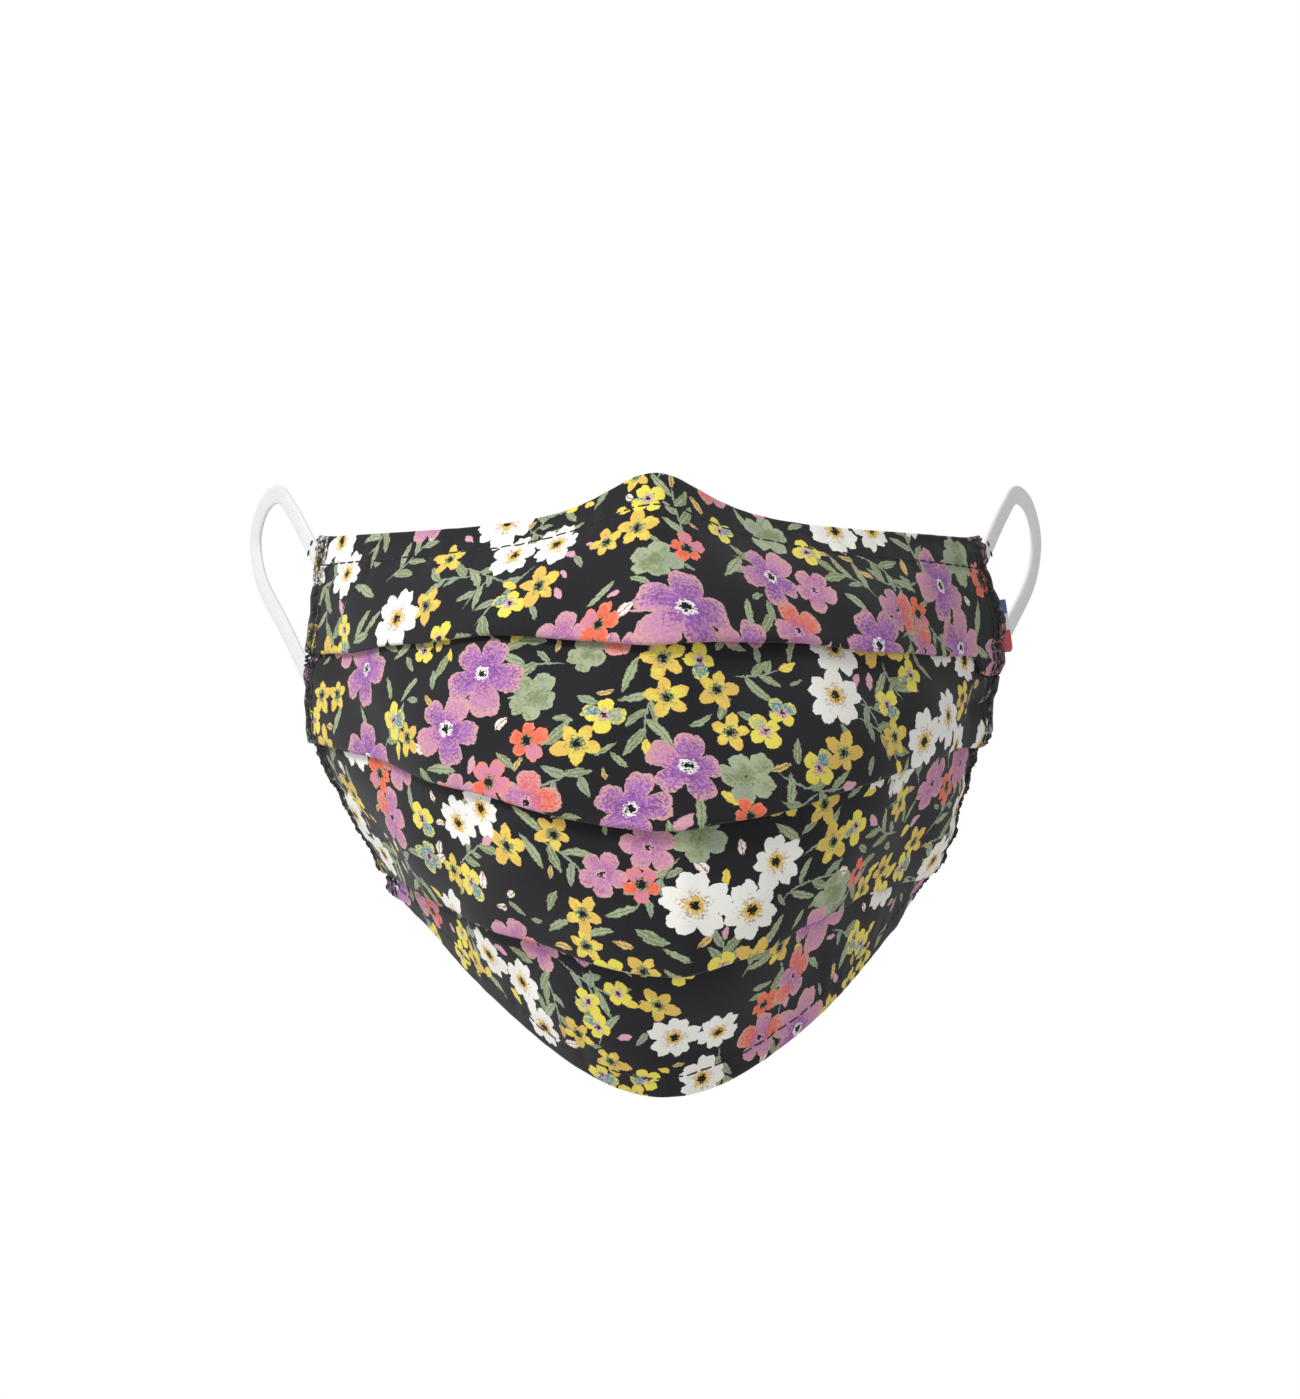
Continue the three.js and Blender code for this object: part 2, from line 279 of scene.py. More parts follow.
class MaskColours(bpy.types.PropertyGroup):
    """Colours of the print, the threads, the elastic and the ribbon."""

    ground: colour_property("Ground", "Ground of the print", 31, 31, 35)
    violet: colour_property("Violet", "Large primroses", 168, 104, 192)
    plum: colour_property("Plum", "Shade of the primroses", 142, 80, 168)
    tan: colour_property("Tan", "Outline of the primroses", 224, 172, 166)
    ivory: colour_property("Ivory", "Anemones", 255, 254, 248)
    cream: colour_property("Cream", "Shade of the anemones", 255, 250, 236)
    gold: colour_property("Gold", "Throat of the anemones", 170, 126, 66)
    mauve: colour_property("Mauve", "Mallows", 206, 140, 184)
    orchid: colour_property("Orchid", "Shade of the mallows", 182, 112, 172)
    coral: colour_property("Coral", "Coral blossoms and the mallows' rims", 246, 102, 72)
    salmon: colour_property("Salmon", "Shade of the coral blossoms", 250, 146, 116)
    yellow: colour_property("Yellow", "Buttercups", 248, 232, 96)
    amber: colour_property("Amber", "Shade of the buttercups", 238, 198, 98)
    blue: colour_property("Blue", "Petals of the small speedwells", 82, 142, 176)
    sage: colour_property("Sage", "Leaves", 176, 188, 154)
    moss: colour_property("Moss", "Shade of the leaves", 134, 146, 104)
    reed: colour_property("Reed", "Stems", 156, 170, 148)
    pink: colour_property("Pink", "Buds", 232, 178, 196)
    ink: colour_property("Ink", "Hearts of the flowers", 20, 16, 20)
    thread: colour_property("Thread", "Sewing and overlock thread", 17, 17, 19)
    elastic: colour_property("Elastic", "Ear loops", 240, 240, 240)
    ribbon_blue: colour_property("Ribbon blue", "Upper band of the tab", 26, 72, 156)
    ribbon_white: colour_property("Ribbon white", "Middle band of the tab", 240, 240, 244)
    ribbon_red: colour_property("Ribbon red", "Lower band of the tab", 204, 28, 52)


def sizes():
    """The sizes in millimetres."""
    group = bpy.context.scene.mask_sizes
    return {name: getattr(group, name) / MM for name in MaskSizes.__annotations__ if name != "print_seed"}


def colour(name, share=1):
    """A colour of the mask, made darker or paler by a share."""
    return (*(share * part for part in getattr(bpy.context.scene.mask_colours, name)), 1)


# The worn form


def bell(x, spread):
    return 1 / (1 + (x / spread) ** 2)


def smooth(share):
    share = np.clip(share, 0, 1)
    return share * share * (3 - 2 * share)


def between(start, end, share):
    return start + (end - start) * share


def unit(vectors):
    return vectors / np.linalg.norm(vectors, axis=-1, keepdims=True)


def travelled(points):
    """Distance along a line of points, from its start."""
    return np.concatenate([[0], np.cumsum(np.linalg.norm(np.diff(points, axis=0), axis=-1))])


def row_points(row, across):
    """Points of a row, where across runs from -1 at the left end to 1 at the right end."""
    share = np.abs(across)
    right = np.maximum(across, 0)
    x = across * row.half_width * CLOTH_WIDTH / 2 + row.lean * CLOTH_WIDTH * (1 - share**2)
    off_ridge = 1 - bell(x, row.spread * NOSE_SPREAD)
    cheek_z = -row.middle_drop * MASK_HEIGHT - row.rise * NOSE_RISE
    middle_y = -row.front * NOSE_REACH
    cheek_y = middle_y + row.ridge * NOSE_REACH
    soft = row.softness
    rounded = (np.hypot(share, soft) - soft) / (math.hypot(1, soft) - soft)
    plan = PLAN_SQUARE * share**2 + (1 - PLAN_SQUARE) * share**4
    sag = row.right_sag * MASK_HEIGHT * 27 / 4 * right**2 * (1 - right)
    climb = row.rise * NOSE_RISE * (1 - off_ridge)
    z = climb - sag + between(cheek_z, -row.side_drop * MASK_HEIGHT, rounded)
    y = (cheek_y - middle_y) * (off_ridge - 1) + between(cheek_y, row.side_back * SIDE_SETBACK, plan)
    return np.stack([x, y, z], axis=-1)


def row_at(row, across):
    """Points at even shares of a row's length."""
    fine = row_points(row, np.linspace(-1, 1, 1201))
    length = travelled(fine)
    wanted = (across + 1) / 2 * length[-1]
    return np.stack([np.interp(wanted, length, fine[:, axis]) for axis in range(3)], axis=-1)


def flowing_line(control, steps):
    """Centripetal curve through control points, with a number of steps from each to the next."""
    first = 2 * control[0] - control[1]
    last = 2 * control[-1] - control[-2]
    points = np.concatenate([[first], control, [last]])
    share = np.linspace(0, 1, steps + 1).reshape((-1,) + (1,) * (control.ndim - 1))
    pieces = []
    for before, start, end, after in zip(points, points[1:], points[2:], points[3:]):
        into, along, beyond = (
            np.sqrt(np.linalg.norm(b - a, axis=-1, keepdims=True))
            for a, b in ((before, start), (start, end), (end, after))
        )
        slope = (end - start) / along
        leave = ((start - before) / into - (end - before) / (into + along) + slope) * along
        arrive = (slope - (after - start) / (along + beyond) + (after - end) / beyond) * along
        cubic = 2 * start - 2 * end + leave + arrive
        square = 3 * end - 3 * start - 2 * leave - arrive
        pieces.append(((cubic * share + square) * share + leave) * share + start)
    return np.concatenate([piece[:-1] for piece in pieces] + [pieces[-1][-1:]])


class WornCloth:
    """The inner face of the worn cloth as a grid of lines down it, with the side bands beyond its ends."""

    def __init__(self):
        across = np.linspace(-1, 1, COLUMNS)
        plain = flowing_line(np.stack([row_at(row, across) for row in ROWS]), LINE_STEPS)
        self.seat_place = self.seat(plain, across)
        plain -= self.seat_place
        band = np.linspace(0, PIECE_GAP + EDGE_WIDTH, BAND_COLUMNS + 1)[1:]
        along, out = self.directions(plain)
        right = np.cross(out[:, -1], along[:, -1])
        left = np.cross(out[:, 0], along[:, 0])
        self.plain = np.concatenate(
            [
                plain[:, :1] - left[:, None] * band[::-1, None],
                plain,
                plain[:, -1:] + right[:, None] * band[:, None],
            ],
            axis=1,
        )
        self.beyond = np.concatenate([-band[::-1], 0 * across, band])
        self.across = np.concatenate([-np.ones(BAND_COLUMNS), across, np.ones(BAND_COLUMNS)])
        self.downs = np.stack([travelled(line) for line in self.plain.transpose(1, 0, 2)], axis=1)
        self.lengths = self.downs[-1]
        self.drops = self.downs[::LINE_STEPS]
        row_lengths = [travelled(row_points(row, np.linspace(-1, 1, 401)))[-1] for row in ROWS]
        self.flat_half = float(np.mean(row_lengths)) / 2
        self.flat_across = self.across * self.flat_half + self.beyond
        self.flat_height = float(self.lengths[len(self.lengths) // 2]) + 2 * len(FOLDS) * PLEAT_DEPTH
        self.hidden = (self.flat_height - self.lengths) / (2 * len(FOLDS))
        self.along, self.out = self.directions(self.plain)
        self.creased = self.plain

    @staticmethod
    def directions(grid):
        """Down the cloth, and out of its face."""
        along = unit(np.gradient(grid, axis=0))
        return along, unit(np.cross(along, np.gradient(grid, axis=1)))

    def seat(self, grid, across):
        """Where the hem's inner face lies at the middle of the top edge."""
        top = unit(np.gradient(grid, axis=0))[0]
        out = unit(np.cross(top, np.gradient(grid[0], axis=0)))
        place = np.array([np.interp(0, across, grid[0, :, axis]) for axis in range(3)])
        normal = np.array([np.interp(0, across, out[:, axis]) for axis in range(3)])
        return place - SEAT_DEPTH * normal

    def wrinkle(self, height):
        """Moves the grid out of its face by a height at each point."""
        self.creased = self.plain + self.out * height[..., None]
        self.along, self.out = self.directions(self.creased)

    def place(self, down, out):
        """Points for tables of distances down and out, with one column for each line of the grid."""
        points = np.empty(down.shape + (3,))
        steps = np.arange(len(self.plain))
        inside = np.clip(down, 0, self.lengths)
        for column in range(down.shape[1]):
            at = np.interp(inside[:, column], self.downs[:, column], steps)
            spot, along, normal = (
                np.stack([np.interp(at, steps, grid[:, column, axis]) for axis in range(3)], axis=-1)
                for grid in (self.creased, self.along, self.out)
            )
            past = (down - inside)[:, column, None]
            points[:, column] = spot + unit(normal) * out[:, column, None] + unit(along) * past
        return points

    def spot(self, across, down, out):
        """Points over the cloth, from distances across the flat cloth, down it and out of its face."""
        last = len(self.across) - 1
        steps = np.arange(len(self.creased))
        spots = []
        for u, way_down, way_out in zip(across, down, out):
            at = min(max(float(np.interp(u, self.flat_across, np.arange(last + 1))), 0), last)
            first = min(int(at), last - 1)
            ends = []
            for column in (first, first + 1):
                step = np.interp(way_down, self.downs[:, column], steps)
                ends.append(
                    [
                        np.array([np.interp(step, steps, grid[:, column, axis]) for axis in range(3)])
                        for grid in (self.creased, self.out)
                    ]
                )
            share = at - first
            point = between(ends[0][0], ends[1][0], share)
            normal = unit(between(ends[0][1], ends[1][1], share))
            past = u - min(max(u, self.flat_across[0]), self.flat_across[-1])
            sideways = unit(ends[1][0] - ends[0][0])
            spots.append(point + normal * way_out + sideways * past)
        return np.array(spots)

    def beside(self, side, down, beyond, out):
        """A point beside the left (-1) or the right (1) end of the cloth."""
        return self.spot([side * (self.flat_half + beyond)], [down], [out])[0]


@lru_cache(maxsize=1)
def worn_cloth():
    cloth = WornCloth()
    cloth.wrinkle(wrinkles(cloth))
    return cloth


def waves(place, lengths, chances):
    """A sum of waves of the given lengths that never repeats."""
    return sum(
        np.sin(TAU * (place / length + chance)) for length, chance in zip(lengths, chances)
    ) / len(lengths)


def wrinkles(cloth):
    """How far the worn cloth stands proud of its plain form at each point of the grid."""
    size = sizes()
    chance = np.random.default_rng(3).random((8, 4))
    u = cloth.flat_across[None, :]
    down = cloth.downs
    rise = cloth.lengths[None, :] - down
    x = cloth.plain[..., 0]
    from_side = cloth.flat_half - np.abs(u)
    right = smooth((u + 20) / 60)
    top_hem = np.exp(-(((down - HEM_WIDTH) / PUCKER_REACH) ** 2))
    bottom_hem = np.exp(-(((rise - HEM_WIDTH) / PUCKER_REACH) ** 2))
    ripple = waves(u, UPPER_RIPPLES, chance[0])
    low_ripple = waves(u, LOWER_RIPPLES, chance[1])
    height = size["pucker"] * (top_hem * ripple + bottom_hem * low_ripple)
    tug = np.exp(-np.maximum(from_side, 0) / GATHER_REACH) * (0.7 + 0.8 * right)
    height = height + size["gather"] * tug * waves(down + 0.05 * u, GATHER_RIPPLES, chance[2])
    rising = waves(u + 0.8 * down, RISING_WAVES, chance[3])
    falling = waves(u - 0.9 * down, FALLING_WAVES, chance[4])
    height = height + size["sag"] * (rising + falling) * smooth(down / 25) * smooth(rise / 12)
    below_nose = smooth((down - 24) / 12) * smooth((rise - 14) / 16)
    height = height + size["crease"] * below_nose * np.exp(-np.abs(x - CREASE_PLACE) / CREASE_SPREAD)
    for spot in FULL_PLACES:
        across_share = (u / cloth.flat_half - spot.across) / spot.wide
        down_share = (down / cloth.lengths - spot.down) / spot.tall
        height = height + spot.height * np.exp(-(across_share**2) - down_share**2)
    return height


# The folded cloth


def pleated_line(cloth, size):
    """Middle line of the folded cloth in cuts from top to bottom: distances down and out of its face."""
    wall = size["cloth_wall"]
    side_share = smooth(np.abs(cloth.across))
    pitch = between(size["middle_pitch"], size["side_pitch"], side_share)
    inner = wall / 2 + between(size["middle_lift"], size["side_lift"], side_share)
    outer = inner + 2 * pitch
    radius = pitch / 2
    stations = []

    def lap(start, end, steps, out, shown=False):
        for share in np.linspace(0, 1, steps + 1)[1:]:
            stations.append((between(start, end, share), out + 0 * pitch, shown))

    def turn(middle_down, middle_out, start, end):
        for angle in np.radians(np.linspace(start, end, TURN_STEPS + 1)[1:]):
            down = middle_down + radius * np.cos(angle)
            stations.append((down, middle_out + radius * np.sin(angle), False))

    panel_top = 0 * pitch
    tucked = smooth((cloth.flat_across - cloth.flat_half + TUCK_REACH) / TUCK_REACH)
    for fold, steps in zip(FOLDS, PANEL_STEPS):
        fold_down = cloth.drops[fold]
        if fold == FOLDS[0]:
            fold_down = fold_down + size["tuck"] * tucked
        rise_end = fold_down - cloth.hidden - radius
        for share in np.linspace(0, 1, steps + 1):
            down = between(panel_top, rise_end, share)
            stations.append((down, between(inner, outer, smooth(share)), True))
        lap(rise_end, fold_down - radius, LAP_STEPS, outer, True)
        turn(fold_down - radius, outer - radius, 90, -90)
        lap(fold_down - radius, fold_down - cloth.hidden + radius, LAP_STEPS, inner + pitch)
        turn(fold_down - cloth.hidden + radius, inner + radius, 90, 270)
        lap(fold_down - cloth.hidden + radius, fold_down + radius, LAP_STEPS, inner)
        panel_top = stations.pop()[0]
    for share in np.linspace(0, 1, PANEL_STEPS[-1] + 1):
        stations.append((between(panel_top, cloth.lengths, share), inner + 0 * pitch, True))
    down, out, shown = (np.stack(table) for table in zip(*stations))
    return down, out, shown


def cloth_faces(down, out, hem, wall):
    """The front and the back of the cloth on both sides of its middle line."""
    down_before = np.concatenate([down[:1], down[:-1]])
    down_after = np.concatenate([down[1:], down[-1:]])
    out_before = np.concatenate([out[:1], out[:-1]])
    out_after = np.concatenate([out[1:], out[-1:]])
    normal = unit(np.stack([out_before - out_after, down_after - down_before], axis=-1))
    front = np.stack([down, out], axis=-1) + normal * wall / 2
    back = np.stack([down, out], axis=-1) - normal * (wall / 2 + hem[..., None])
    return front, back


def rim(front, back, way):
    """Rounded edge between the two faces, from the front to the back."""
    half = np.linalg.norm(front - back, axis=-1) / 2
    points = []
    for share in RIM_SHARES:
        point = between(front, back, share).copy()
        point[:, 0] += way * half * math.sqrt(1 - (2 * share - 1) ** 2)
        points.append(point)
    return np.stack(points)


Folded = namedtuple("Folded", "down out shown hem front back travel")


@lru_cache(maxsize=1)
def folded_cloth():
    """The folded line of each cut, the hems' thickness, both faces and the distance down the flat cloth."""
    size = sizes()
    cloth = worn_cloth()
    down, out, shown = pleated_line(cloth, size)
    stations, columns = down.shape
    first_panel = np.arange(stations)[:, None] < PANEL_STEPS[0]
    hem_top = smooth((HEM_WIDTH + 1 - down) / HEM_SLOPE) * first_panel
    last_panel = np.arange(stations)[:, None] >= stations - PANEL_STEPS[-1]
    bottom_width = HEM_WIDTH * (cloth.lengths - cloth.drops[FOLDS[-1]]) / (
        cloth.lengths[columns // 2] - cloth.drops[FOLDS[-1]][columns // 2]
    )
    hem_bottom = smooth((bottom_width + 1 - (cloth.lengths - down)) / HEM_SLOPE) * last_panel
    hem = size["hem_fold"] * (hem_top + hem_bottom)
    front, back = cloth_faces(down, out, hem, size["cloth_wall"])
    travel = np.zeros_like(down)
    travel[1:] = np.cumsum(np.hypot(np.diff(down, axis=0), np.diff(out, axis=0)), axis=0)
    return Folded(down, out, shown, hem, front, back, travel)


def front_line(flat_down, start, end):
    """Points on the front of the cloth at a distance down it for each of the cuts from start to end."""
    cloth, folded = worn_cloth(), folded_cloth()
    downs, outs = [], []
    for column, wanted in enumerate(flat_down):
        travel = folded.travel[:, column]
        downs.append(np.interp(wanted, travel, folded.front[:, column, 0]))
        outs.append(np.interp(wanted, travel, folded.front[:, column, 1]))
    return cloth.place(np.array([downs]), np.array([outs]))[0, start:end]


def cloth_mesh():
    """The printed cloth as a closed mesh, with its flat coordinates and the faces that carry the print."""
    cloth = worn_cloth()
    folded = folded_cloth()
    front, back, travel = folded.front, folded.back, folded.travel
    stations, columns = folded.down.shape
    ring = np.concatenate([front, rim(front[-1], back[-1], 1), back[::-1], rim(back[0], front[0], -1)])
    points = cloth.place(ring[..., 0], ring[..., 1])
    extra = len(RIM_SHARES)
    flat_down = np.concatenate(
        [travel, np.repeat(travel[-1:], extra, 0), travel[::-1], np.repeat(travel[:1], extra, 0)]
    )
    flat = np.stack([np.broadcast_to(cloth.flat_across, flat_down.shape), flat_down], axis=-1)

    around = len(ring)
    index = np.arange(around * columns).reshape(around, columns)
    next_index = np.roll(index, -1, axis=0)
    quads = np.stack([index[:, :-1], next_index[:, :-1], next_index[:, 1:], index[:, 1:]], axis=-1)
    printed = np.zeros(quads.shape[:2], dtype=bool)
    printed[:stations + extra] = True
    printed[-extra - 1:] = True
    faces = quads.reshape(-1, 4).tolist()
    printed = printed.ravel().tolist()
    backs = np.arange(stations) + stations + extra
    for column, forward in ((0, False), (columns - 1, True)):
        ends = index[:, column]
        mates = ends[backs[::-1]]
        caps = [[ends[k], ends[k + 1], mates[k + 1], mates[k]] for k in range(stations - 1)]
        caps.append([ends[stations - 1 + k] for k in range(extra + 2)])
        caps.append([ends[(2 * stations + extra - 1 + k) % around] for k in range(extra + 2)])
        faces += [cap if forward else cap[::-1] for cap in caps]
        printed += [False] * len(caps)
    return points.reshape(-1, 3), faces, flat.reshape(-1, 2), np.array(printed)


# Meshes and objects


def new_object(name, points, faces):
    """A mesh object at the origin, from points in millimetres."""
    mesh = bpy.data.meshes.new(name)
    mesh.from_pydata((np.asarray(points) * MM).tolist(), [], [[int(k) for k in face] for face in faces])
    mesh.validate()
    mesh.shade_smooth()
    obj = bpy.data.objects.new(name, mesh)
    bpy.context.scene.collection.objects.link(obj)
    return obj


def lay_flat(obj, flat, name):
    """Gives a mesh the map of its flat coordinates, in millimetres."""
    layer = obj.data.uv_layers.new(name=name)
    corners = np.empty(len(obj.data.loops), dtype=np.int32)
    obj.data.loops.foreach_get("vertex_index", corners)
    layer.data.foreach_set("uv", np.asarray(flat, dtype=np.float32)[corners].ravel())


def only(obj):
    """Makes one object the whole selection."""
    bpy.ops.object.select_all(action="DESELECT")
    obj.select_set(True)
    bpy.context.view_layer.objects.active = obj


def finish_piece(obj, replaced=()):
    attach(obj, BODY)
    if replaced:
        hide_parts(*replaced)


# The print: small flowers, leaves and stems strewn over the flat cloth

# Flowers by kind. radius is in millimetres. gap, roundness and notch shape the petals: how far the gaps
# between them reach in, how broad they are and how their tips are cleft. heart is the radius of the dark
# heart and halo that of the ring round it. odd is the colour of a petal here and there.
Flower = namedtuple(
    "Flower", "radius petals gap roundness notch heart halo petal shade odd rim throat ring"
)
FLOWERS = {
    "geranium leaf": Flower(6.2, 5, 0.34, 2, 0.08, 0, 0, "sage", "moss", "reed", "sage", "moss", "moss"),
    "primrose": Flower(9, 5, 0.5, 2.8, 0.07, 0.8, 1.35, "violet", "plum", "mauve", "tan", "plum", "ivory"),
    "anemone": Flower(7, 5, 0.38, 2.1, 0.17, 0.95, 1.7, "ivory", "cream", "ivory", "ivory", "gold", "amber"),
    "mallow": Flower(6.5, 5, 0.42, 3.4, 0, 0.6, 1, "mauve", "orchid", "coral", "tan", "orchid", "pink"),
    "pimpernel": Flower(4.7, 5, 0.5, 2.4, 0.1, 0.9, 1.2, "coral", "coral", "mauve", "salmon", "coral", "moss"),
    "buttercup": Flower(4.6, 5, 0.52, 1.5, 0, 0.7, 1.2, "yellow", "amber", "amber", "amber", "moss", "moss"),
    "speedwell": Flower(3.9, 4, 0.48, 2.8, 0, 0.5, 0.9, "yellow", "yellow", "blue", "yellow", "blue", "pink"),
}
FLOWER_KINDS = list(FLOWERS)

# Leaves and buds by kind, with breadth as a share of the length
Leaf = namedtuple("Leaf", "length breadth side edge rib")
LEAVES = {
    "willow leaf": Leaf(7.5, 0.26, "sage", "moss", "moss"),
    "dark leaf": Leaf(6.5, 0.34, "moss", "sage", "sage"),
    "small leaf": Leaf(4.6, 0.36, "reed", "sage", "moss"),
    "yellow bud": Leaf(4.2, 0.5, "yellow", "amber", "amber"),
    "pink bud": Leaf(3.8, 0.5, "pink", "mauve", "tan"),
    "ivory bud": Leaf(4.0, 0.56, "ivory", "tan", "gold"),
    "amber bud": Leaf(4.4, 0.36, "amber", "tan", "moss"),
}
LEAF_KINDS = list(LEAVES)
GREEN_LEAVES = ("willow leaf", "dark leaf", "small leaf")
BUDS = ("yellow bud", "pink bud", "ivory bud", "amber bud")

# Posies of touching flowers, and how many of each are strewn
POSIES = {
    ("anemone", "anemone", "anemone"): 8,
    ("primrose", "primrose", "geranium leaf", "pimpernel"): 8,
    ("anemone", "anemone", "buttercup"): 9,
    ("primrose", "mallow", "pimpernel", "mallow"): 7,
    ("mallow", "pimpernel", "mallow", "geranium leaf"): 7,
    ("buttercup", "speedwell", "buttercup", "buttercup"): 9,
    ("speedwell", "speedwell", "buttercup"): 9,
    ("primrose",): 3,
    ("anemone",): 3,
    ("speedwell", "buttercup"): 12,
    ("buttercup",): 10,
    ("speedwell",): 8,
}
POSY_TRIES = 30
POSY_BENDS = (0.7, 1.5)
POSY_LEANS = (0, 0.6, -0.6, 1.2, -1.2, 1.8, -1.8, 2.4, -2.4)
FLOWER_SHARES = (0.84, 1.1)
PRINT_BEYOND = 5
CLOSE_IN_POSY = 0.74
CLOSE_ELSEWHERE = 0.82

# Stems with leaves, of which a share grow out of large flowers, and loose leaves and buds: how many there
# are, and the ranges of their half lengths, bows, steps and leans and of their shares of a full length
SPRIGS = 108
ROOTED_SPRIGS = 0.6
LARGE_FLOWER = 4
ROOTED_STEMS = (4.5, 8.5)
LOOSE_STEMS = (4, 7.5)
STEM_BOWS = (-0.045, 0.045)
STEM_WIDTH = 0.27
LEAF_STEPS = (0.28, 0.42)
LEAF_LEANS = (0.5, 0.95)
SPRIG_LEAF_SHARES = (0.75, 1.1)
LOOSE_LEAF_SHARES = (0.6, 1.05)
LOOSE_LEAVES = 200
LOOSE_BUDS = 150
LEAF_TRIES = 12
LEAF_ROOM = 2.6

# How many motifs of a form a face of the cloth can hold, and how far a face reaches round its middle
FLOWER_LAYERS = 4
LEAF_LAYERS = 3
STEM_LAYERS = 2
FACE_REACH = 0.9

# A motif on the flat cloth, with its chance between 0 and 1, or for a stem its bow
Motif = namedtuple("Motif", "u v turn kind size chance")


def strewn_flowers(rng, half_width, height):
    """Posies spread evenly over the cloth, each with its flowers side by side."""
    flowers = []

    def clearance(place):
        """How far a place lies from the nearest flower's rim."""
        return min(
            (math.hypot(place[0] - other.u, place[1] - other.v) - other.size for other in flowers),
            default=0,
        )

    def room(u, v, size, posy_start):
        """How far a flower would stay clear of the others, which may come closer in its own posy."""
        return min(
            (
                math.hypot(u - other.u, v - other.v)
                - (CLOSE_IN_POSY if place >= posy_start else CLOSE_ELSEWHERE) * (size + other.size)
                for place, other in enumerate(flowers)
            ),
            default=1,
        )

    for kinds in (kinds for kinds, count in POSIES.items() for _ in range(count)):
        tries = [
            (rng.uniform(-half_width, half_width), rng.uniform(-PRINT_BEYOND, height + PRINT_BEYOND))
            for _ in range(POSY_TRIES)
        ]
        u, v = max(tries, key=clearance)
        posy_start = len(flowers)
        way = rng.uniform(0, TAU)
        for kind in kinds:
            size = FLOWERS[kind].radius * rng.uniform(*FLOWER_SHARES)
            turn = rng.uniform(0, TAU)
            chance = rng.uniform(0, 1)
            before = flowers[-1] if len(flowers) > posy_start else Motif(u, v, 0, 0, -size, 0)
            step = CLOSE_IN_POSY * (before.size + size) * 1.02
            for lean in POSY_LEANS:
                flower_u = before.u + step * math.cos(way + lean)
                flower_v = before.v + step * math.sin(way + lean)
                if room(flower_u, flower_v, size, posy_start) > -0.01:
                    number = FLOWER_KINDS.index(kind)
                    flowers.append(Motif(flower_u, flower_v, turn, number, size, chance))
                    break
            way += rng.uniform(*POSY_BENDS)
    flowers.sort(key=lambda flower: flower.kind)
    return flowers


def strewn_sprigs(rng, flowers, half_width, height):
    """Bowed stems with leaves on both sides and buds at the tip."""
    stems, leaves = [], []
    large = [flower for flower in flowers if flower.size > LARGE_FLOWER]
    for _ in range(SPRIGS):
        if rng.uniform(0, 1) < ROOTED_SPRIGS:
            root = large[int(rng.integers(len(large)))]
            turn = rng.uniform(0, TAU)
            half = rng.uniform(*ROOTED_STEMS)
            reach = half + 0.8 * root.size
            u = root.u + reach * math.cos(turn)
            v = root.v + reach * math.sin(turn)
        else:
            u = rng.uniform(-half_width, half_width)
            v = rng.uniform(0, height)
            turn = rng.uniform(0, TAU)
            half = rng.uniform(*LOOSE_STEMS)
        bow = rng.uniform(*STEM_BOWS)
        stems.append(Motif(u, v, turn, 0, half, bow))
        side = 1
        for along in np.arange(-0.55, 1.01, rng.uniform(*LEAF_STEPS)):
            kind = GREEN_LEAVES[int(rng.integers(len(GREEN_LEAVES)))]
            lean = side * rng.uniform(*LEAF_LEANS)
            if along > 0.8:
                kind = BUDS[int(rng.integers(len(BUDS)))]
                lean = 0
            length = LEAVES[kind].length * rng.uniform(*SPRIG_LEAF_SHARES)
            x = along * half
            y = bow * x * x
            way = turn + lean + math.atan(2 * bow * x)
            leaf_u = u + x * math.cos(turn) - y * math.sin(turn) + length / 2 * math.cos(way)
            leaf_v = v + x * math.sin(turn) + y * math.cos(turn) + length / 2 * math.sin(way)
            leaves.append(Motif(leaf_u, leaf_v, way, LEAF_KINDS.index(kind), length, rng.uniform(0, 1)))
            side = -side
    return stems, leaves


def strewn_leaves(rng, flowers, leaves, half_width, height):
    """Loose leaves and buds in what is left of the ground."""
    loose = []
    for kinds, count in ((GREEN_LEAVES, LOOSE_LEAVES), (BUDS, LOOSE_BUDS)):
        for _ in range(count):
            kind = kinds[int(rng.integers(len(kinds)))]
            length = LEAVES[kind].length * rng.uniform(*LOOSE_LEAF_SHARES)
            for _ in range(LEAF_TRIES):
                u = rng.uniform(-half_width, half_width)
                v = rng.uniform(0, height)
                off_flowers = all(math.hypot(u - f.u, v - f.v) > 0.9 * f.size for f in flowers)
                off_leaves = all(math.hypot(u - f.u, v - f.v) > LEAF_ROOM for f in leaves + loose)
                if off_flowers and off_leaves:
                    turn = rng.uniform(0, TAU)
                    loose.append(Motif(u, v, turn, LEAF_KINDS.index(kind), length, rng.uniform(0, 1)))
                    break
    return loose


def near_motif(motif, form, centres):
    """The faces that a motif may touch: round a flower, in a box round a leaf and along a stem."""
    du = centres[:, 0] - motif.u
    dv = centres[:, 1] - motif.v
    if form == "flower":
        return np.hypot(du, dv) < motif.size + FACE_REACH
    x = du * math.cos(motif.turn) + dv * math.sin(motif.turn)
    y = dv * math.cos(motif.turn) - du * math.sin(motif.turn)
    if form == "leaf":
        breadth = LEAVES[LEAF_KINDS[motif.kind]].breadth * motif.size / 2
        return (np.abs(x) < motif.size / 2 + FACE_REACH) & (np.abs(y) < breadth + FACE_REACH)
    off_stem = np.abs(y - motif.chance * x * x)
    return (np.abs(x) < motif.size + FACE_REACH) & (off_stem < STEM_WIDTH + FACE_REACH)


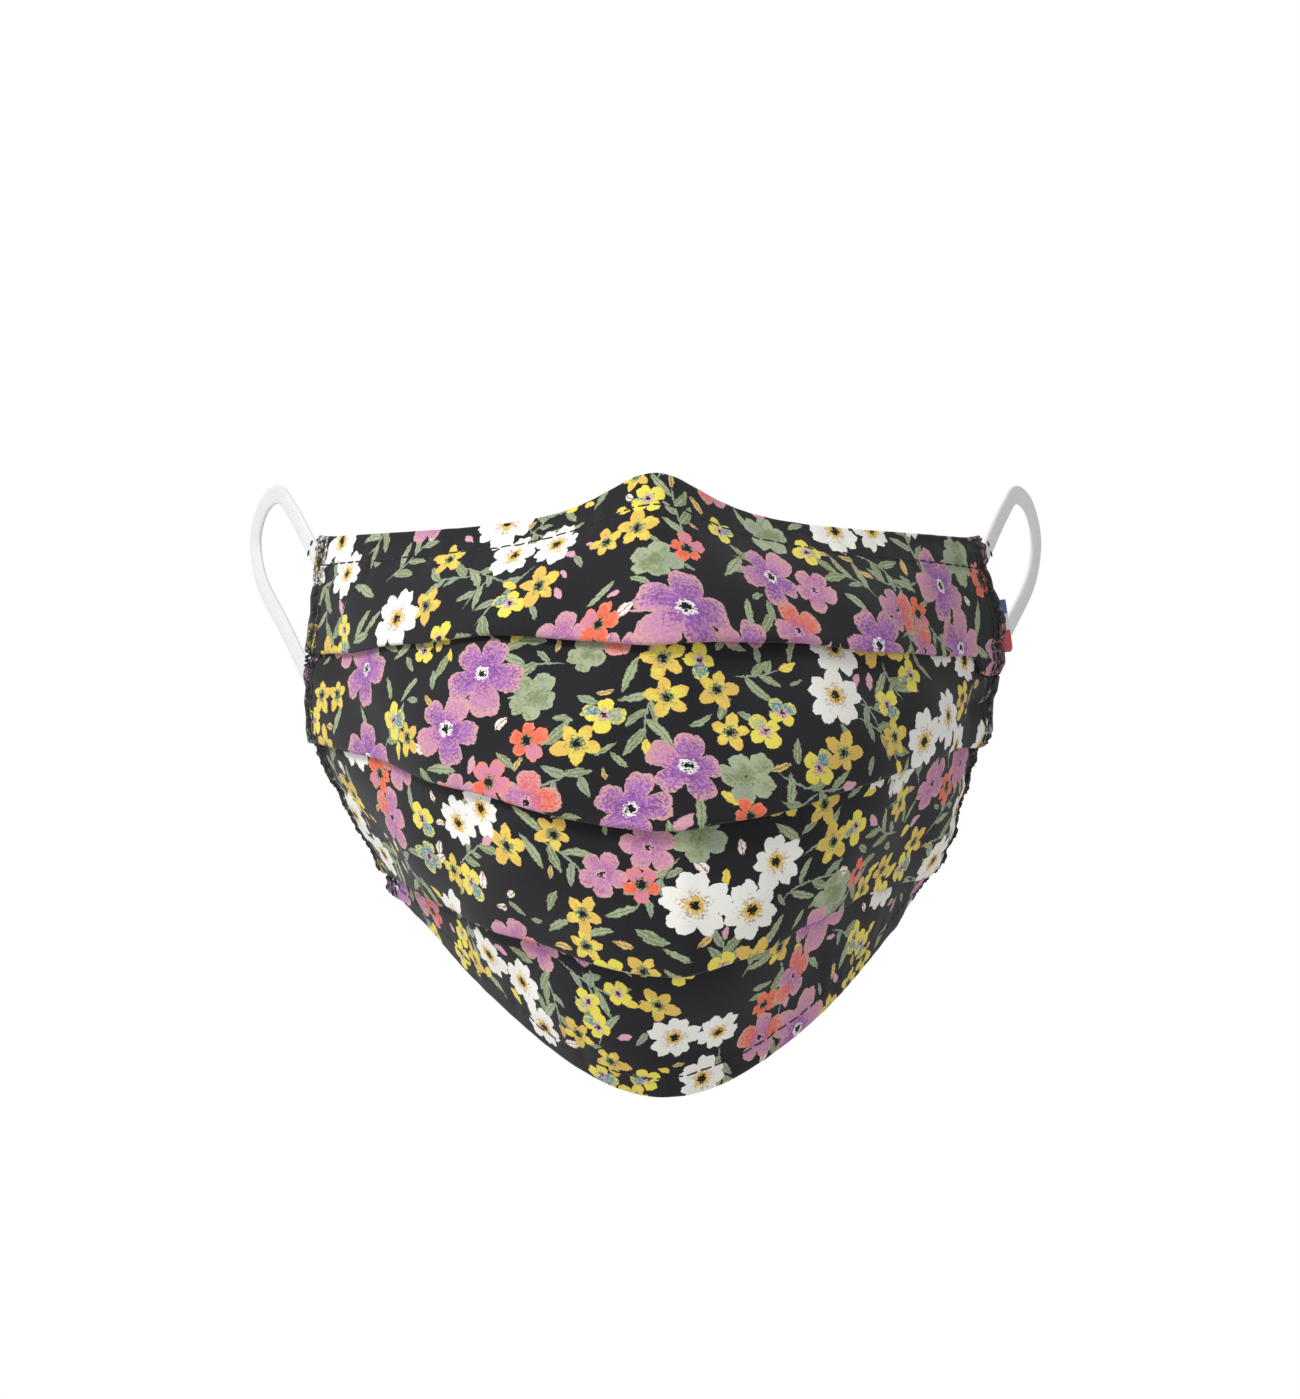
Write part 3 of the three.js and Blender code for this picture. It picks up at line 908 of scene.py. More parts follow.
def put_on_faces(motifs, form, layers, centres):
    """Tables of motifs for each face, in layers in which no two motifs come near the same face."""
    taken = np.zeros((layers, len(centres)), dtype=bool)
    place = np.zeros((layers, len(centres), 3))
    shape = np.zeros((layers, len(centres), 3))
    for motif in motifs:
        near = near_motif(motif, form, centres)
        free = [layer for layer in range(layers) if not taken[layer, near].any()]
        if free:
            layer = free[0]
            taken[layer, near] = True
            place[layer, near] = motif.u, motif.v, motif.turn
            shape[layer, near] = motif.kind, motif.size, motif.chance
    return place, shape


def strew_print(mesh, printed):
    """Stores on each printed face the flowers, leaves and stems that may touch it."""
    corners = np.empty(len(mesh.loops) * 2, dtype=np.float32)
    mesh.uv_layers["flat_cloth"].data.foreach_get("uv", corners)
    corners = corners.reshape(-1, 2)
    starts = np.empty(len(mesh.polygons), dtype=np.int32)
    mesh.polygons.foreach_get("loop_start", starts)
    centres = (corners[starts] + corners[starts + 2]) / 2
    far_off = 1e6
    centres[~printed] = far_off
    form = worn_cloth()
    half_width = form.flat_half + EDGE_WIDTH
    rng = np.random.default_rng(bpy.context.scene.mask_sizes.print_seed)
    flowers = strewn_flowers(rng, half_width, form.flat_height)
    stems, leaves = strewn_sprigs(rng, flowers, half_width, form.flat_height)
    leaves += strewn_leaves(rng, flowers, leaves, half_width, form.flat_height)
    for motifs, name, layers in (
        (flowers, "flower", FLOWER_LAYERS),
        (leaves, "leaf", LEAF_LAYERS),
        (stems, "stem", STEM_LAYERS),
    ):
        places, shapes = put_on_faces(motifs, name, layers, centres)
        for layer in range(layers):
            for table, suffix in ((places, "place"), (shapes, "shape")):
                attribute = mesh.attributes.new(f"{name}_{layer}_{suffix}", "FLOAT_VECTOR", "FACE")
                attribute.data.foreach_set("vector", table[layer].astype(np.float32).ravel())


# Materials


class Signal:
    """A node's output that can be added, multiplied and compared as a number is."""

    def __init__(self, wires, socket):
        self.wires = wires
        self.socket = socket

    def __add__(self, other):
        return self.wires.math("ADD", self, other)

    def __sub__(self, other):
        return self.wires.math("SUBTRACT", self, other)

    def __rsub__(self, other):
        return self.wires.math("SUBTRACT", other, self)

    def __mul__(self, other):
        return self.wires.math("MULTIPLY", self, other)

    def __truediv__(self, other):
        return self.wires.math("DIVIDE", self, other)

    def __pow__(self, other):
        return self.wires.math("POWER", self, other)

    def __abs__(self):
        return self.wires.math("ABSOLUTE", self)

    __radd__ = __add__
    __rmul__ = __mul__


class Wires:
    """Adds nodes to a tree and joins them."""

    def __init__(self, tree):
        self.tree = tree

    def node(self, kind, inputs=None, **settings):
        node = self.tree.nodes.new(kind)
        number = len(self.tree.nodes)
        node.location = (220 * (number // 8), -170 * (number % 8))
        for name, value in settings.items():
            setattr(node, name, value)
        for name, value in (inputs or {}).items():
            self.feed(node.inputs[name], value)
        return node

    def feed(self, socket, value):
        if isinstance(value, Signal):
            self.tree.links.new(value.socket, socket)
        else:
            socket.default_value = value

    def output(self, node, name=0):
        return Signal(self, node.outputs[name])

    def math(self, operation, *values, clamp=False):
        node = self.node("ShaderNodeMath", operation=operation, use_clamp=clamp)
        for socket, value in zip(node.inputs, values):
            self.feed(socket, value)
        return self.output(node)

    def mix(self, factor, first, second):
        node = self.node("ShaderNodeMix", data_type="RGBA")
        for socket, value in zip((node.inputs[0], node.inputs[6], node.inputs[7]), (factor, first, second)):
            self.feed(socket, value)
        return self.output(node, 2)

    def step(self, value, start, end):
        """Rises smoothly from 0 at the start to 1 at the end."""
        ends = {"Value": value, "From Min": start, "From Max": end}
        return self.output(self.node("ShaderNodeMapRange", ends, interpolation_type="SMOOTHSTEP"))

    def noise(self, vector, scale, detail=2, roughness=0.5, output="Fac"):
        spots = {"Vector": vector, "Scale": scale, "Detail": detail, "Roughness": roughness}
        return self.output(self.node("ShaderNodeTexNoise", spots), output)

    def flat_map(self, name):
        """Places on a flat piece, in millimetres."""
        return self.output(self.node("ShaderNodeUVMap", uv_map=name), "UV")

    def split(self, vector):
        node = self.node("ShaderNodeSeparateXYZ", {"Vector": vector})
        return tuple(self.output(node, name) for name in ("X", "Y", "Z"))

    def by_kind(self, kind, values):
        """One value for each kind, from a ramp without blending."""
        node = self.node("ShaderNodeValToRGB", {"Fac": (kind + 0.5) / len(values)})
        ramp = node.color_ramp
        ramp.interpolation = "CONSTANT"
        for number, value in enumerate(values):
            element = ramp.elements[number] if number < 2 else ramp.elements.new(number / len(values))
            element.position = number / len(values)
            element.color = value if len(value) == 4 else (*value, 1)
        return self.output(node)


def grey_steps(values, scale):
    return [(value / scale,) * 3 for value in values]


def new_group(name, inputs, outputs):
    """An empty node group with the given sockets, its wires, and its inputs as signals."""
    tree = bpy.data.node_groups.new(name, "ShaderNodeTree")
    for direction, sockets in (("INPUT", inputs), ("OUTPUT", outputs)):
        for socket, kind in sockets.items():
            tree.interface.new_socket(socket, in_out=direction, socket_type=f"NodeSocket{kind}")
    wires = Wires(tree)
    start = wires.node("NodeGroupInput")
    return tree, wires, [wires.output(start, socket) for socket in inputs]


def from_middle(wires, flat, place):
    """Distances across and down from a motif's middle, and the way that it is turned."""
    u, v, _ = wires.split(flat)
    middle_u, middle_v, turn = wires.split(place)
    return u - middle_u, v - middle_v, turn


def turned(wires, across, down, turn):
    cosine = wires.math("COSINE", turn)
    sine = wires.math("SINE", turn)
    return across * cosine + down * sine, down * cosine - across * sine


MOTIF_INPUTS = {"Flat": "Vector", "Place": "Vector", "Shape": "Vector", "Grain": "Float"}
MOTIF_OUTPUTS = {"Mask": "Float", "Colour": "Color"}
RIM_SHARPNESS = 7


def flower_group():
    """One layer of flowers: each petal's outline is worked out from its angle round the heart."""
    tree, wires, (flat, place, shape, grain, blotch, stipple) = new_group(
        "printed flower", {**MOTIF_INPUTS, "Blotch": "Float", "Stipple": "Float"}, MOTIF_OUTPUTS
    )
    forms = list(FLOWERS.values())
    across, down, turn = from_middle(wires, flat, place)
    kind, radius, chance = wires.split(shape)

    def number(field, scale):
        return wires.by_kind(kind, grey_steps([getattr(form, field) for form in forms], scale)) * scale

    def shade(field):
        return wires.by_kind(kind, [colour(getattr(form, field)) for form in forms])

    petals = number("petals", 10)
    distance = wires.math("SQRT", across * across + down * down)
    sector = (wires.math("ARCTAN2", down, across) + turn) * petals / TAU
    off_middle = abs(wires.math("FRACT", sector) - 0.5) * 2
    petal = wires.math("FLOORED_MODULO", wires.math("FLOOR", sector), petals)
    petal_chance = wires.output(
        wires.node("ShaderNodeTexWhiteNoise", {"W": petal + chance * 50}, noise_dimensions="1D")
    )
    tip = wires.math("MAXIMUM", 1 - off_middle * 2.6, 0)
    outline = 1 - number("gap", 1) * off_middle ** number("roundness", 5) - tip * number("notch", 1)
    edge = radius * (petal_chance * 0.26 + 0.76) * outline
    mask = wires.math("MULTIPLY", edge - distance, RIM_SHARPNESS, clamp=True)
    share = distance / wires.math("MAXIMUM", edge, 0.1)
    ragged_share = share + (grain - 0.5) * 0.5
    tint = wires.mix(wires.step(blotch, 0.42, 0.62), shade("petal"), shade("shade"))
    tint = wires.mix(wires.step(petal_chance, 0.74, 0.8), tint, shade("odd"))
    tint = wires.mix(stipple, tint, shade("rim"))
    tint = wires.mix(wires.step(ragged_share, 0.78, 0.96), tint, shade("rim"))
    throat = 1 - wires.step(ragged_share, 0.2, 0.46)
    tint = wires.mix(throat * 0.85, tint, shade("throat"))
    ragged = distance + (grain - 0.5) * 0.9
    tint = wires.mix(wires.math("LESS_THAN", ragged, number("halo", 2)), tint, shade("ring"))
    tint = wires.mix(wires.math("LESS_THAN", ragged, number("heart", 2)), tint, colour("ink"))
    wires.node("NodeGroupOutput", {"Mask": mask, "Colour": tint})
    return tree


def leaf_group():
    """One layer of leaves and buds: slim lenses, a little bowed, with a rib down the middle."""
    tree, wires, (flat, place, shape, grain) = new_group("printed leaf", MOTIF_INPUTS, MOTIF_OUTPUTS)
    forms = list(LEAVES.values())
    kind, length, chance = wires.split(shape)

    def shade(field):
        return wires.by_kind(kind, [colour(getattr(form, field)) for form in forms])

    x, y = turned(wires, *from_middle(wires, flat, place))
    along = x / wires.math("MAXIMUM", length, 0.1) + 0.5
    belly = wires.math("MAXIMUM", along * (1 - along) * 4, 0)
    off_rib = abs(y + (chance - 0.5) * belly * length * 0.16)
    breadth = wires.by_kind(kind, grey_steps([form.breadth for form in forms], 1))
    half = length * breadth * 0.5 * belly ** 0.75 * (1.2 - along * 0.4)
    mask = wires.math("MULTIPLY", half - off_rib, RIM_SHARPNESS, clamp=True)
    share = off_rib / wires.math("MAXIMUM", half, 0.05) + (grain - 0.5) * 0.7
    tint = wires.mix(wires.step(share, 0.55, 0.95), shade("side"), shade("edge"))
    tint = wires.mix(wires.math("LESS_THAN", off_rib + (grain - 0.5) * 0.2, 0.13), tint, shade("rib"))
    wires.node("NodeGroupOutput", {"Mask": mask, "Colour": tint})
    return tree


def stem_group():
    """One layer of stems: thin bowed lines that run out towards both ends."""
    tree, wires, (flat, place, shape, grain) = new_group("printed stem", MOTIF_INPUTS, {"Mask": "Float"})
    _, half_length, bow = wires.split(shape)
    x, y = turned(wires, *from_middle(wires, flat, place))
    off_line = abs(y - bow * x * x)
    along = abs(x) / wires.math("MAXIMUM", half_length, 0.1)
    width = wires.math("MAXIMUM", 1 - along ** 6, 0) * STEM_WIDTH * (0.7 + grain * 0.6)
    inside = wires.math("LESS_THAN", abs(x), half_length)
    mask = wires.math("MULTIPLY", width - off_line, RIM_SHARPNESS, clamp=True) * inside
    wires.node("NodeGroupOutput", {"Mask": mask})
    return tree


def new_material(name, finish):
    """A material, its wires and its shader, which gets the values of the finish."""
    material = bpy.data.materials.new(name)
    material.use_nodes = True
    shader = material.node_tree.nodes["Principled BSDF"]
    for socket, value in finish.items():
        shader.inputs[socket].default_value = value
    return material, Wires(material.node_tree), shader


WEAVE_PITCH = 0.62
COTTON_FINISH = {
    "Roughness": 0.86,
    "Specular IOR Level": 0.2,
    "Sheen Weight": 0.12,
    "Sheen Roughness": 0.6,
}
THREAD_FINISH = {"Roughness": 0.62, "Sheen Weight": 0.1}
RIBBON_FINISH = {"Roughness": 0.55, "Sheen Weight": 0.25}
ELASTIC_FINISH = {
    "Roughness": 0.8,
    "Specular IOR Level": 0.2,
    "Sheen Weight": 0.2,
    "Subsurface Weight": 0.6,
    "Subsurface Radius": (1, 1, 1),
    "Subsurface Scale": 3 * MM,
}


def weave(wires, flat, grain):
    """Height of a plain weave: threads that pass over each other in both directions."""
    u, v, _ = wires.split(flat)
    turns = TAU / WEAVE_PITCH
    return wires.math("SINE", u * turns) * wires.math("SINE", v * turns) * 0.5 + grain * 0.8


def add_bump(wires, shader, height, distance, strength):
    bump = wires.node("ShaderNodeBump", {"Height": height, "Distance": distance * MM, "Strength": strength})
    wires.feed(shader.inputs["Normal"], wires.output(bump, "Normal"))


def printed_cotton():
    """Near-black cotton with the strewn print, a fine weave and the grain of the ink."""
    material, wires, shader = new_material("printed cotton", COTTON_FINISH)
    flat = wires.flat_map("flat_cloth")
    grain = wires.step(wires.noise(flat, 1.9, 3, 0.65), 0.3, 0.7)
    blotch = wires.noise(flat, 0.32)
    stipple = wires.step(wires.noise(flat, 1.7, 2, 0.7), 0.46, 0.56) * 0.55
    shift = wires.node("ShaderNodeVectorMath", operation="MULTIPLY_ADD")
    jitter = wires.noise(flat, 1.1, output="Color")
    for socket, value in zip(shift.inputs, (jitter, (0.95, 0.95, 0), (-0.475, -0.475, 0))):
        wires.feed(socket, value)
    drawn = wires.node("ShaderNodeVectorMath", operation="ADD")
    wires.feed(drawn.inputs[0], flat)
    wires.feed(drawn.inputs[1], wires.output(shift))

    tint = wires.mix(grain, colour("ground"), colour("ground", 0.72))
    for form, group, layers, extra in (
        ("stem", stem_group(), STEM_LAYERS, {}),
        ("leaf", leaf_group(), LEAF_LAYERS, {}),
        ("flower", flower_group(), FLOWER_LAYERS, {"Blotch": blotch, "Stipple": stipple}),
    ):
        for layer in range(layers):
            node = wires.node("ShaderNodeGroup", node_tree=group)
            inputs = {"Flat": wires.output(drawn), "Grain": grain, **extra}
            for table in ("Place", "Shape"):
                stored = f"{form}_{layer}_{table.lower()}"
                attribute = wires.node("ShaderNodeAttribute", attribute_name=stored)
                inputs[table] = wires.output(attribute, "Vector")
            for socket, value in inputs.items():
                wires.feed(node.inputs[socket], value)
            ink = colour("reed") if form == "stem" else wires.output(node, "Colour")
            tint = wires.mix(wires.output(node, "Mask"), tint, ink)

    speckle = wires.step(wires.noise(flat, 3.4, 1), 0.25, 0.75)
    tint = wires.mix(speckle * 0.07, tint, colour("ground"))
    across, _, _ = wires.split(flat)
    half = worn_cloth().flat_half
    fuzz = wires.step(wires.noise(flat, 1.3, 3, 0.7), 0.4, 0.52)
    fray = wires.step(abs(across), half - 0.8, half + 1.2) * fuzz
    tint = wires.mix(fray * 0.85, tint, colour("thread"))
    wires.feed(shader.inputs["Base Color"], tint)
    add_bump(wires, shader, weave(wires, flat, grain), 0.05, 0.5)
    return material


def plain_cotton():
    """The wrong side of the cloth: the near-black ground alone."""
    material, wires, shader = new_material("plain cotton", COTTON_FINISH)
    flat = wires.flat_map("flat_cloth")
    grain = wires.noise(flat, 1.9, 3, 0.65)
    tint = wires.mix(wires.step(grain, 0.3, 0.7), colour("ground"), colour("ground", 1.5))
    wires.feed(shader.inputs["Base Color"], tint)
    add_bump(wires, shader, weave(wires, flat, grain), 0.05, 0.5)
    return material


# Threads, elastic and ribbon


def thread_path(name, points, radius=0.0):
    """A curve through points in millimetres, with a round section where it has a radius."""
    data = bpy.data.curves.new(name, "CURVE")
    data.dimensions = "3D"
    data.bevel_depth = radius * MM
    data.bevel_resolution = 1
    data.use_fill_caps = True
    spline = data.splines.new("POLY")
    spline.points.add(len(points) - 1)
    for point, place in zip(spline.points, points):
        point.co = (*(place * MM), 1)
    obj = bpy.data.objects.new(name, data)
    bpy.context.scene.collection.objects.link(obj)
    return obj


def one_stitch(name, length, thickness):
    """A stitch along +X from the origin: a ball that is pulled out to its length."""
    bpy.ops.object.select_all(action="DESELECT")
    bpy.ops.mesh.primitive_uv_sphere_add(segments=8, ring_count=6, radius=thickness * MM / 2)
    obj = bpy.context.object
    obj.name = name
    bpy.ops.object.mode_set(mode="EDIT")
    mesh = bmesh.from_edit_mesh(obj.data)
    for side in (-1, 1):
        bpy.ops.mesh.select_all(action="DESELECT")
        for vertex in mesh.verts:
            vertex.select_set(vertex.co.x * side > thickness * MM * 0.05)
        mesh.select_flush_mode()
        bpy.ops.transform.translate(value=(side * (length - thickness) * MM / 2, 0, 0))
    bpy.ops.mesh.select_all(action="SELECT")
    bpy.ops.transform.translate(value=(length * MM / 2, 0, 0))
    bpy.ops.object.mode_set(mode="OBJECT")
    return obj


def stitch_run(name, path, length, gap, thickness):
    """Stitches one after another along a path."""
    rail = thread_path(name + " rail", path)
    stitch = one_stitch(name, length, thickness)
    bpy.ops.object.modifier_add(type="ARRAY")
    row = stitch.modifiers[-1]
    row.fit_type = "FIT_CURVE"
    row.curve = rail
    row.use_relative_offset = False
    row.use_constant_offset = True
    row.constant_offset_displace = ((length + gap) * MM, 0, 0)
    bpy.ops.object.modifier_apply(modifier=row.name)
    bpy.ops.object.modifier_add(type="CURVE")
    bend = stitch.modifiers[-1]
    bend.object = rail
    bpy.ops.object.modifier_apply(modifier=bend.name)
    bpy.ops.object.shade_smooth()
    bpy.data.curves.remove(rail.data)
    return stitch


def shared_material(name, maker):
    return bpy.data.materials.get(name) or maker()


def sewing_thread():
    """Matt black thread, with the twist of its strands as fine bump."""
    material, wires, shader = new_material("sewing thread", THREAD_FINISH)
    place = wires.output(wires.node("ShaderNodeTexCoord"), "Object")
    fuzz = wires.noise(place, 2600, 2, 0.6)
    tint = wires.mix(wires.step(fuzz, 0.35, 0.7), colour("thread"), colour("thread", 2.2))
    wires.feed(shader.inputs["Base Color"], tint)
    add_bump(wires, shader, fuzz, 0.06, 0.6)
    return material


def sewn_piece(name, threads, replaced=()):
    """Joins threads into one finished piece."""
    bpy.ops.object.select_all(action="DESELECT")
    for obj in threads:
        obj.select_set(True)
    piece = threads[0]
    bpy.context.view_layer.objects.active = piece
    bpy.ops.object.join()
    bpy.ops.object.shade_smooth()
    piece.name = name
    piece.data.name = name
    piece.data.materials.clear()
    piece.data.materials.append(shared_material("sewing thread", sewing_thread))
    finish_piece(piece, replaced)


def knit_elastic():
    """Pale matt elastic: fine ribs along it and a small knit stitch across them, as bump and with painted
    shade darkening the grooves.
    """
    material, wires, shader = new_material("knitted elastic", ELASTIC_FINISH)
    flat = wires.flat_map("flat_strap")
    around, along, _ = wires.split(flat)
    rib = wires.math("SINE", around * (TAU / RIB_PITCH))
    knit = wires.math("SINE", along * (TAU / KNIT_PITCH) + rib * 1.2)
    fuzz = wires.noise(flat, 2.4)
    height = rib * 0.5 + knit * 0.25 + fuzz * 0.8
    # Painted shade: the colour is darker where the knit's height is low, down in the grooves between ribs and
    # stitches.
    tint = wires.mix(wires.step(height, 0.9, -0.3), colour("elastic"), colour("elastic", 0.86))
    wires.feed(shader.inputs["Base Color"], tint)
    add_bump(wires, shader, height, 0.05, 0.5)
    return material


def banded_ribbon():
    """Woven ribbon in three plain bands, with fine ribs across it, as bump and with painted shade darkening
    the grooves between them.
    """
    material, wires, shader = new_material("banded ribbon", RIBBON_FINISH)
    flat = wires.flat_map("flat_ribbon")
    down, along, _ = wires.split(flat)
    fuzz = wires.noise(flat, 3)
    edge = down + (fuzz - 0.5) * 0.25
    tint = colour("ribbon_blue")
    for share, name in ((BLUE_SHARE, "ribbon_white"), (WHITE_SHARE, "ribbon_red")):
        tint = wires.mix(wires.math("GREATER_THAN", edge, TAB_WIDTH * share), tint, colour(name))
    # Painted shade: black is mixed in where the ribs are low, in the grooves between them.
    black = (0, 0, 0, 1)
    ribs = wires.math("SINE", along * (TAU / RIBBON_RIB))
    tint = wires.mix(wires.step(ribs + fuzz, 0.2, -1) * 0.18, tint, black)
    wires.feed(shader.inputs["Base Color"], tint)
    add_bump(wires, shader, ribs * 0.5 + fuzz * 0.6, 0.06, 0.6)
    return material


def band_top(down):
    """How far the topmost layer stands out of the side band, at distances down it."""
    folded = folded_cloth()
    column = folded.front[folded.shown, -BAND_COLUMNS]
    order = np.argsort(column[:, 0])
    fine = np.interp(down, column[order, 0], column[order, 1])
    soft = np.interp(np.asarray(down) + 0.6, column[order, 0], column[order, 1])
    return np.maximum(fine, soft)


def overlock_path(side):
    """The looper threads: out to the cloth's cut edge on the front, round it and back on the wrong side."""
    cloth = worn_cloth()
    size = sizes()
    pitch = size["overlock_pitch"]
    lift = size["thread"] / 2
    back = size["side_lift"] - size["hem_fold"] / 2
    route = []
    for loop in range(int(float(cloth.lengths[-1]) / pitch)):
        start = (loop + 0.25) * pitch
        for share, beyond, face in OVERLOCK_LOOP:
            down = start + share * pitch
            top = float(band_top(down))
            out = {"front": top + lift, "edge": (top + back) / 2, "back": back - lift}[face]
            route.append((side * (cloth.flat_half + beyond), down, out))
    across, down, out = (np.array(column) for column in zip(*route))
    return flowing_line(cloth.spot(across, down, out), 3)


def edge_chain_path(side):
    """The thread that locks the loopers along the cut edge, swaying a little from loop to loop."""
    cloth = worn_cloth()
    pitch = sizes()["overlock_pitch"]
    down = np.arange(CHAIN_END, float(cloth.lengths[-1]) - CHAIN_END, pitch / 4)
    sway = np.sin(TAU * down / pitch)
    across = side * (cloth.flat_half + PIECE_GAP + EDGE_WIDTH + CHAIN_BEYOND + CHAIN_SWAY * sway)
    middle = (band_top(down) + sizes()["side_lift"]) / 2
    return flowing_line(cloth.spot(across, down, middle + CHAIN_LIFT * sway), 2)


def strap_path(side):
    """Middle line of an ear loop, the ways across it and out of its face, and the distances along it."""
    cloth = worn_cloth()
    edge_end = PIECE_GAP + EDGE_WIDTH
    lower_down = float(cloth.lengths[-1]) - LOWER_TACK_RISE
    size = sizes()
    strap_out = size["side_lift"] - size["hem_fold"] - size["strap_wall"] / 2
    control = [
        cloth.beside(side, UPPER_TACK_DROP, edge_end - STRAP_TUCK, strap_out),
        cloth.beside(side, UPPER_TACK_DROP - STRAP_TUCK / 2, edge_end + PIECE_GAP, strap_out),
    ]
    spread = CLOTH_WIDTH / 2 + EAR_BESIDE
    for point in EAR_POINTS:
        back = SIDE_SETBACK + point.back * EAR_BEHIND
        up = -EAR_DROP - point.down * EAR_HEIGHT
        control.append(np.array((side * point.out * spread, back, up)) - cloth.seat_place)
    control.append(cloth.beside(side, lower_down - STRAP_TUCK / 2, edge_end + PIECE_GAP, strap_out))
    control.append(cloth.beside(side, lower_down, edge_end - STRAP_TUCK, strap_out))
    fine = flowing_line(np.array(control), 60)
    length = travelled(fine)
    wanted = np.linspace(0, length[-1], STRAP_STEPS + 1)
    path = np.stack([np.interp(wanted, length, fine[:, axis]) for axis in range(3)], axis=-1)
    along = unit(np.gradient(path, axis=0))
    wide = unit(np.cross((side * STRAP_FACING[0], STRAP_FACING[1], 0), along))
    return path, wide, np.cross(along, wide), wanted


def squared(wave):
    """A sine or cosine for a section with flatter sides than an ellipse."""
    return np.sign(wave) * np.abs(wave) ** STRAP_SQUARE


def tab_rings(wall):
    """Sections of the folded ribbon from its upper to its lower edge, and their flat coordinates."""
    cloth = worn_cloth()
    middle = (EDGE_BACK + EDGE_FRONT) / 2 + TAB_FORWARD
    start = EDGE_WIDTH + PIECE_GAP - TAB_SEWN
    straight = TAB_REACH + TAB_SEWN - TAB_BEND - wall / 2
    steps = np.linspace(0, 1, TAB_LINE_STEPS + 1)
    bends = np.radians(np.linspace(90, -90, TAB_LINE_STEPS + 1)[1:])
    rings, flat = [], []
    for share in np.linspace(0, 1, TAB_STEPS + 1):
        corner = max(share - TAB_CORNER_START, 0) / (1 - TAB_CORNER_START)
        reach = straight - TAB_CORNER * (1 - math.sqrt(max(1 - corner**2, 0)))
        bend = start + reach
        line = np.array(
            [(start + reach * step, middle + TAB_BEND) for step in steps]
            + [(bend + TAB_BEND * math.cos(turn), middle + TAB_BEND * math.sin(turn)) for turn in bends]
            + [(start + reach * step, middle - TAB_BEND) for step in steps[::-1][1:]]
        )
        way = unit(np.gradient(line, axis=0))
        half = np.stack([-way[:, 1], way[:, 0]], axis=-1) * wall / 2
        section = np.concatenate([line + half, (line - half)[::-1]])
        upper, lower = (
            np.array([cloth.beside(1, end, beyond, out) for beyond, out in section])
            for end in (TAB_DROP, TAB_DROP + TAB_WIDTH)
        )
        rings.append(between(upper, lower, share))
        travel = travelled(line)
        flat += [(TAB_WIDTH * share, place) for place in np.concatenate([travel, travel[::-1]])]
    return np.array(rings), flat


def tube(rings):
    """Faces of a closed tube through rings of points, with flat ends."""
    count, around = rings.shape[:2]
    index = np.arange(count * around).reshape(count, around)
    after = np.roll(index, -1, axis=1)
    quads = np.stack([index[:-1], after[:-1], after[1:], index[1:]], axis=-1).reshape(-1, 4).tolist()
    return quads + [index[0][::-1].tolist(), index[-1].tolist()]


# The stage


def add_camera(scene):
    """A camera that sees the mask as in the photo."""
    data = bpy.data.cameras.new("camera")
    data.sensor_fit = "VERTICAL"
    data.sensor_width = FILM_HEIGHT
    data.sensor_height = FILM_HEIGHT
    data.lens = FILM_HEIGHT * CAMERA_DISTANCE / (PHOTO_HEIGHT * MM_PER_PIXEL)
    camera = bpy.data.objects.new("camera", data)
    shift_x = (PHOTO_WIDTH / 2 - MIDDLE_PIXEL) * MM_PER_PIXEL
    camera.location = (
        (math.sin(CAMERA_TURN) * CAMERA_DISTANCE + shift_x) * MM,
        -math.cos(CAMERA_TURN) * CAMERA_DISTANCE * MM,
        -(PHOTO_HEIGHT / 2 - TOP_PIXEL) * MM_PER_PIXEL * MM,
    )
    camera.rotation_euler = (math.pi / 2, 0, CAMERA_TURN)
    scene.collection.objects.link(camera)
    scene.camera = camera
    scene.view_settings.view_transform = "Standard"


def light_scene(scene):
    """A white studio that the camera sees brighter than it shines, and a soft key light from the left."""
    world = bpy.data.worlds.new("studio")
    world.use_nodes = True
    nodes = world.node_tree.nodes
    background = nodes["Background"]
    background.inputs["Color"].default_value = (1, 1, 1, 1)
    light_path = nodes.new("ShaderNodeLightPath")
    strength = nodes.new("ShaderNodeMapRange")
    strength.inputs["To Min"].default_value = WORLD_LIGHT
    strength.inputs["To Max"].default_value = 1
    world.node_tree.links.new(light_path.outputs["Is Camera Ray"], strength.inputs["Value"])
    world.node_tree.links.new(strength.outputs["Result"], background.inputs["Strength"])
    scene.world = world

    data = bpy.data.lights.new("key light", "AREA")
    data.size = KEY_SIZE
    data.energy = KEY_ENERGY
    key = bpy.data.objects.new("key light", data)
    key.location = KEY_PLACE
    key.rotation_euler = (Vector(KEY_AIM) - key.location).to_track_quat("-Z", "Y").to_euler()
    scene.collection.objects.link(key)


def add_floor():
    bpy.ops.object.select_all(action="DESELECT")
    bpy.ops.mesh.primitive_circle_add(
        vertices=96, radius=FLOOR_RADIUS, fill_type="NGON", location=(0, 0, FLOOR_HEIGHT)
    )
    floor = bpy.context.object
    floor.name = "floor"
    bpy.ops.object.transform_apply(location=True, rotation=True, scale=True)
    material, _, _ = new_material("floor", {"Base Color": FLOOR_COLOUR})
    floor.data.materials.append(material)


# Pieces


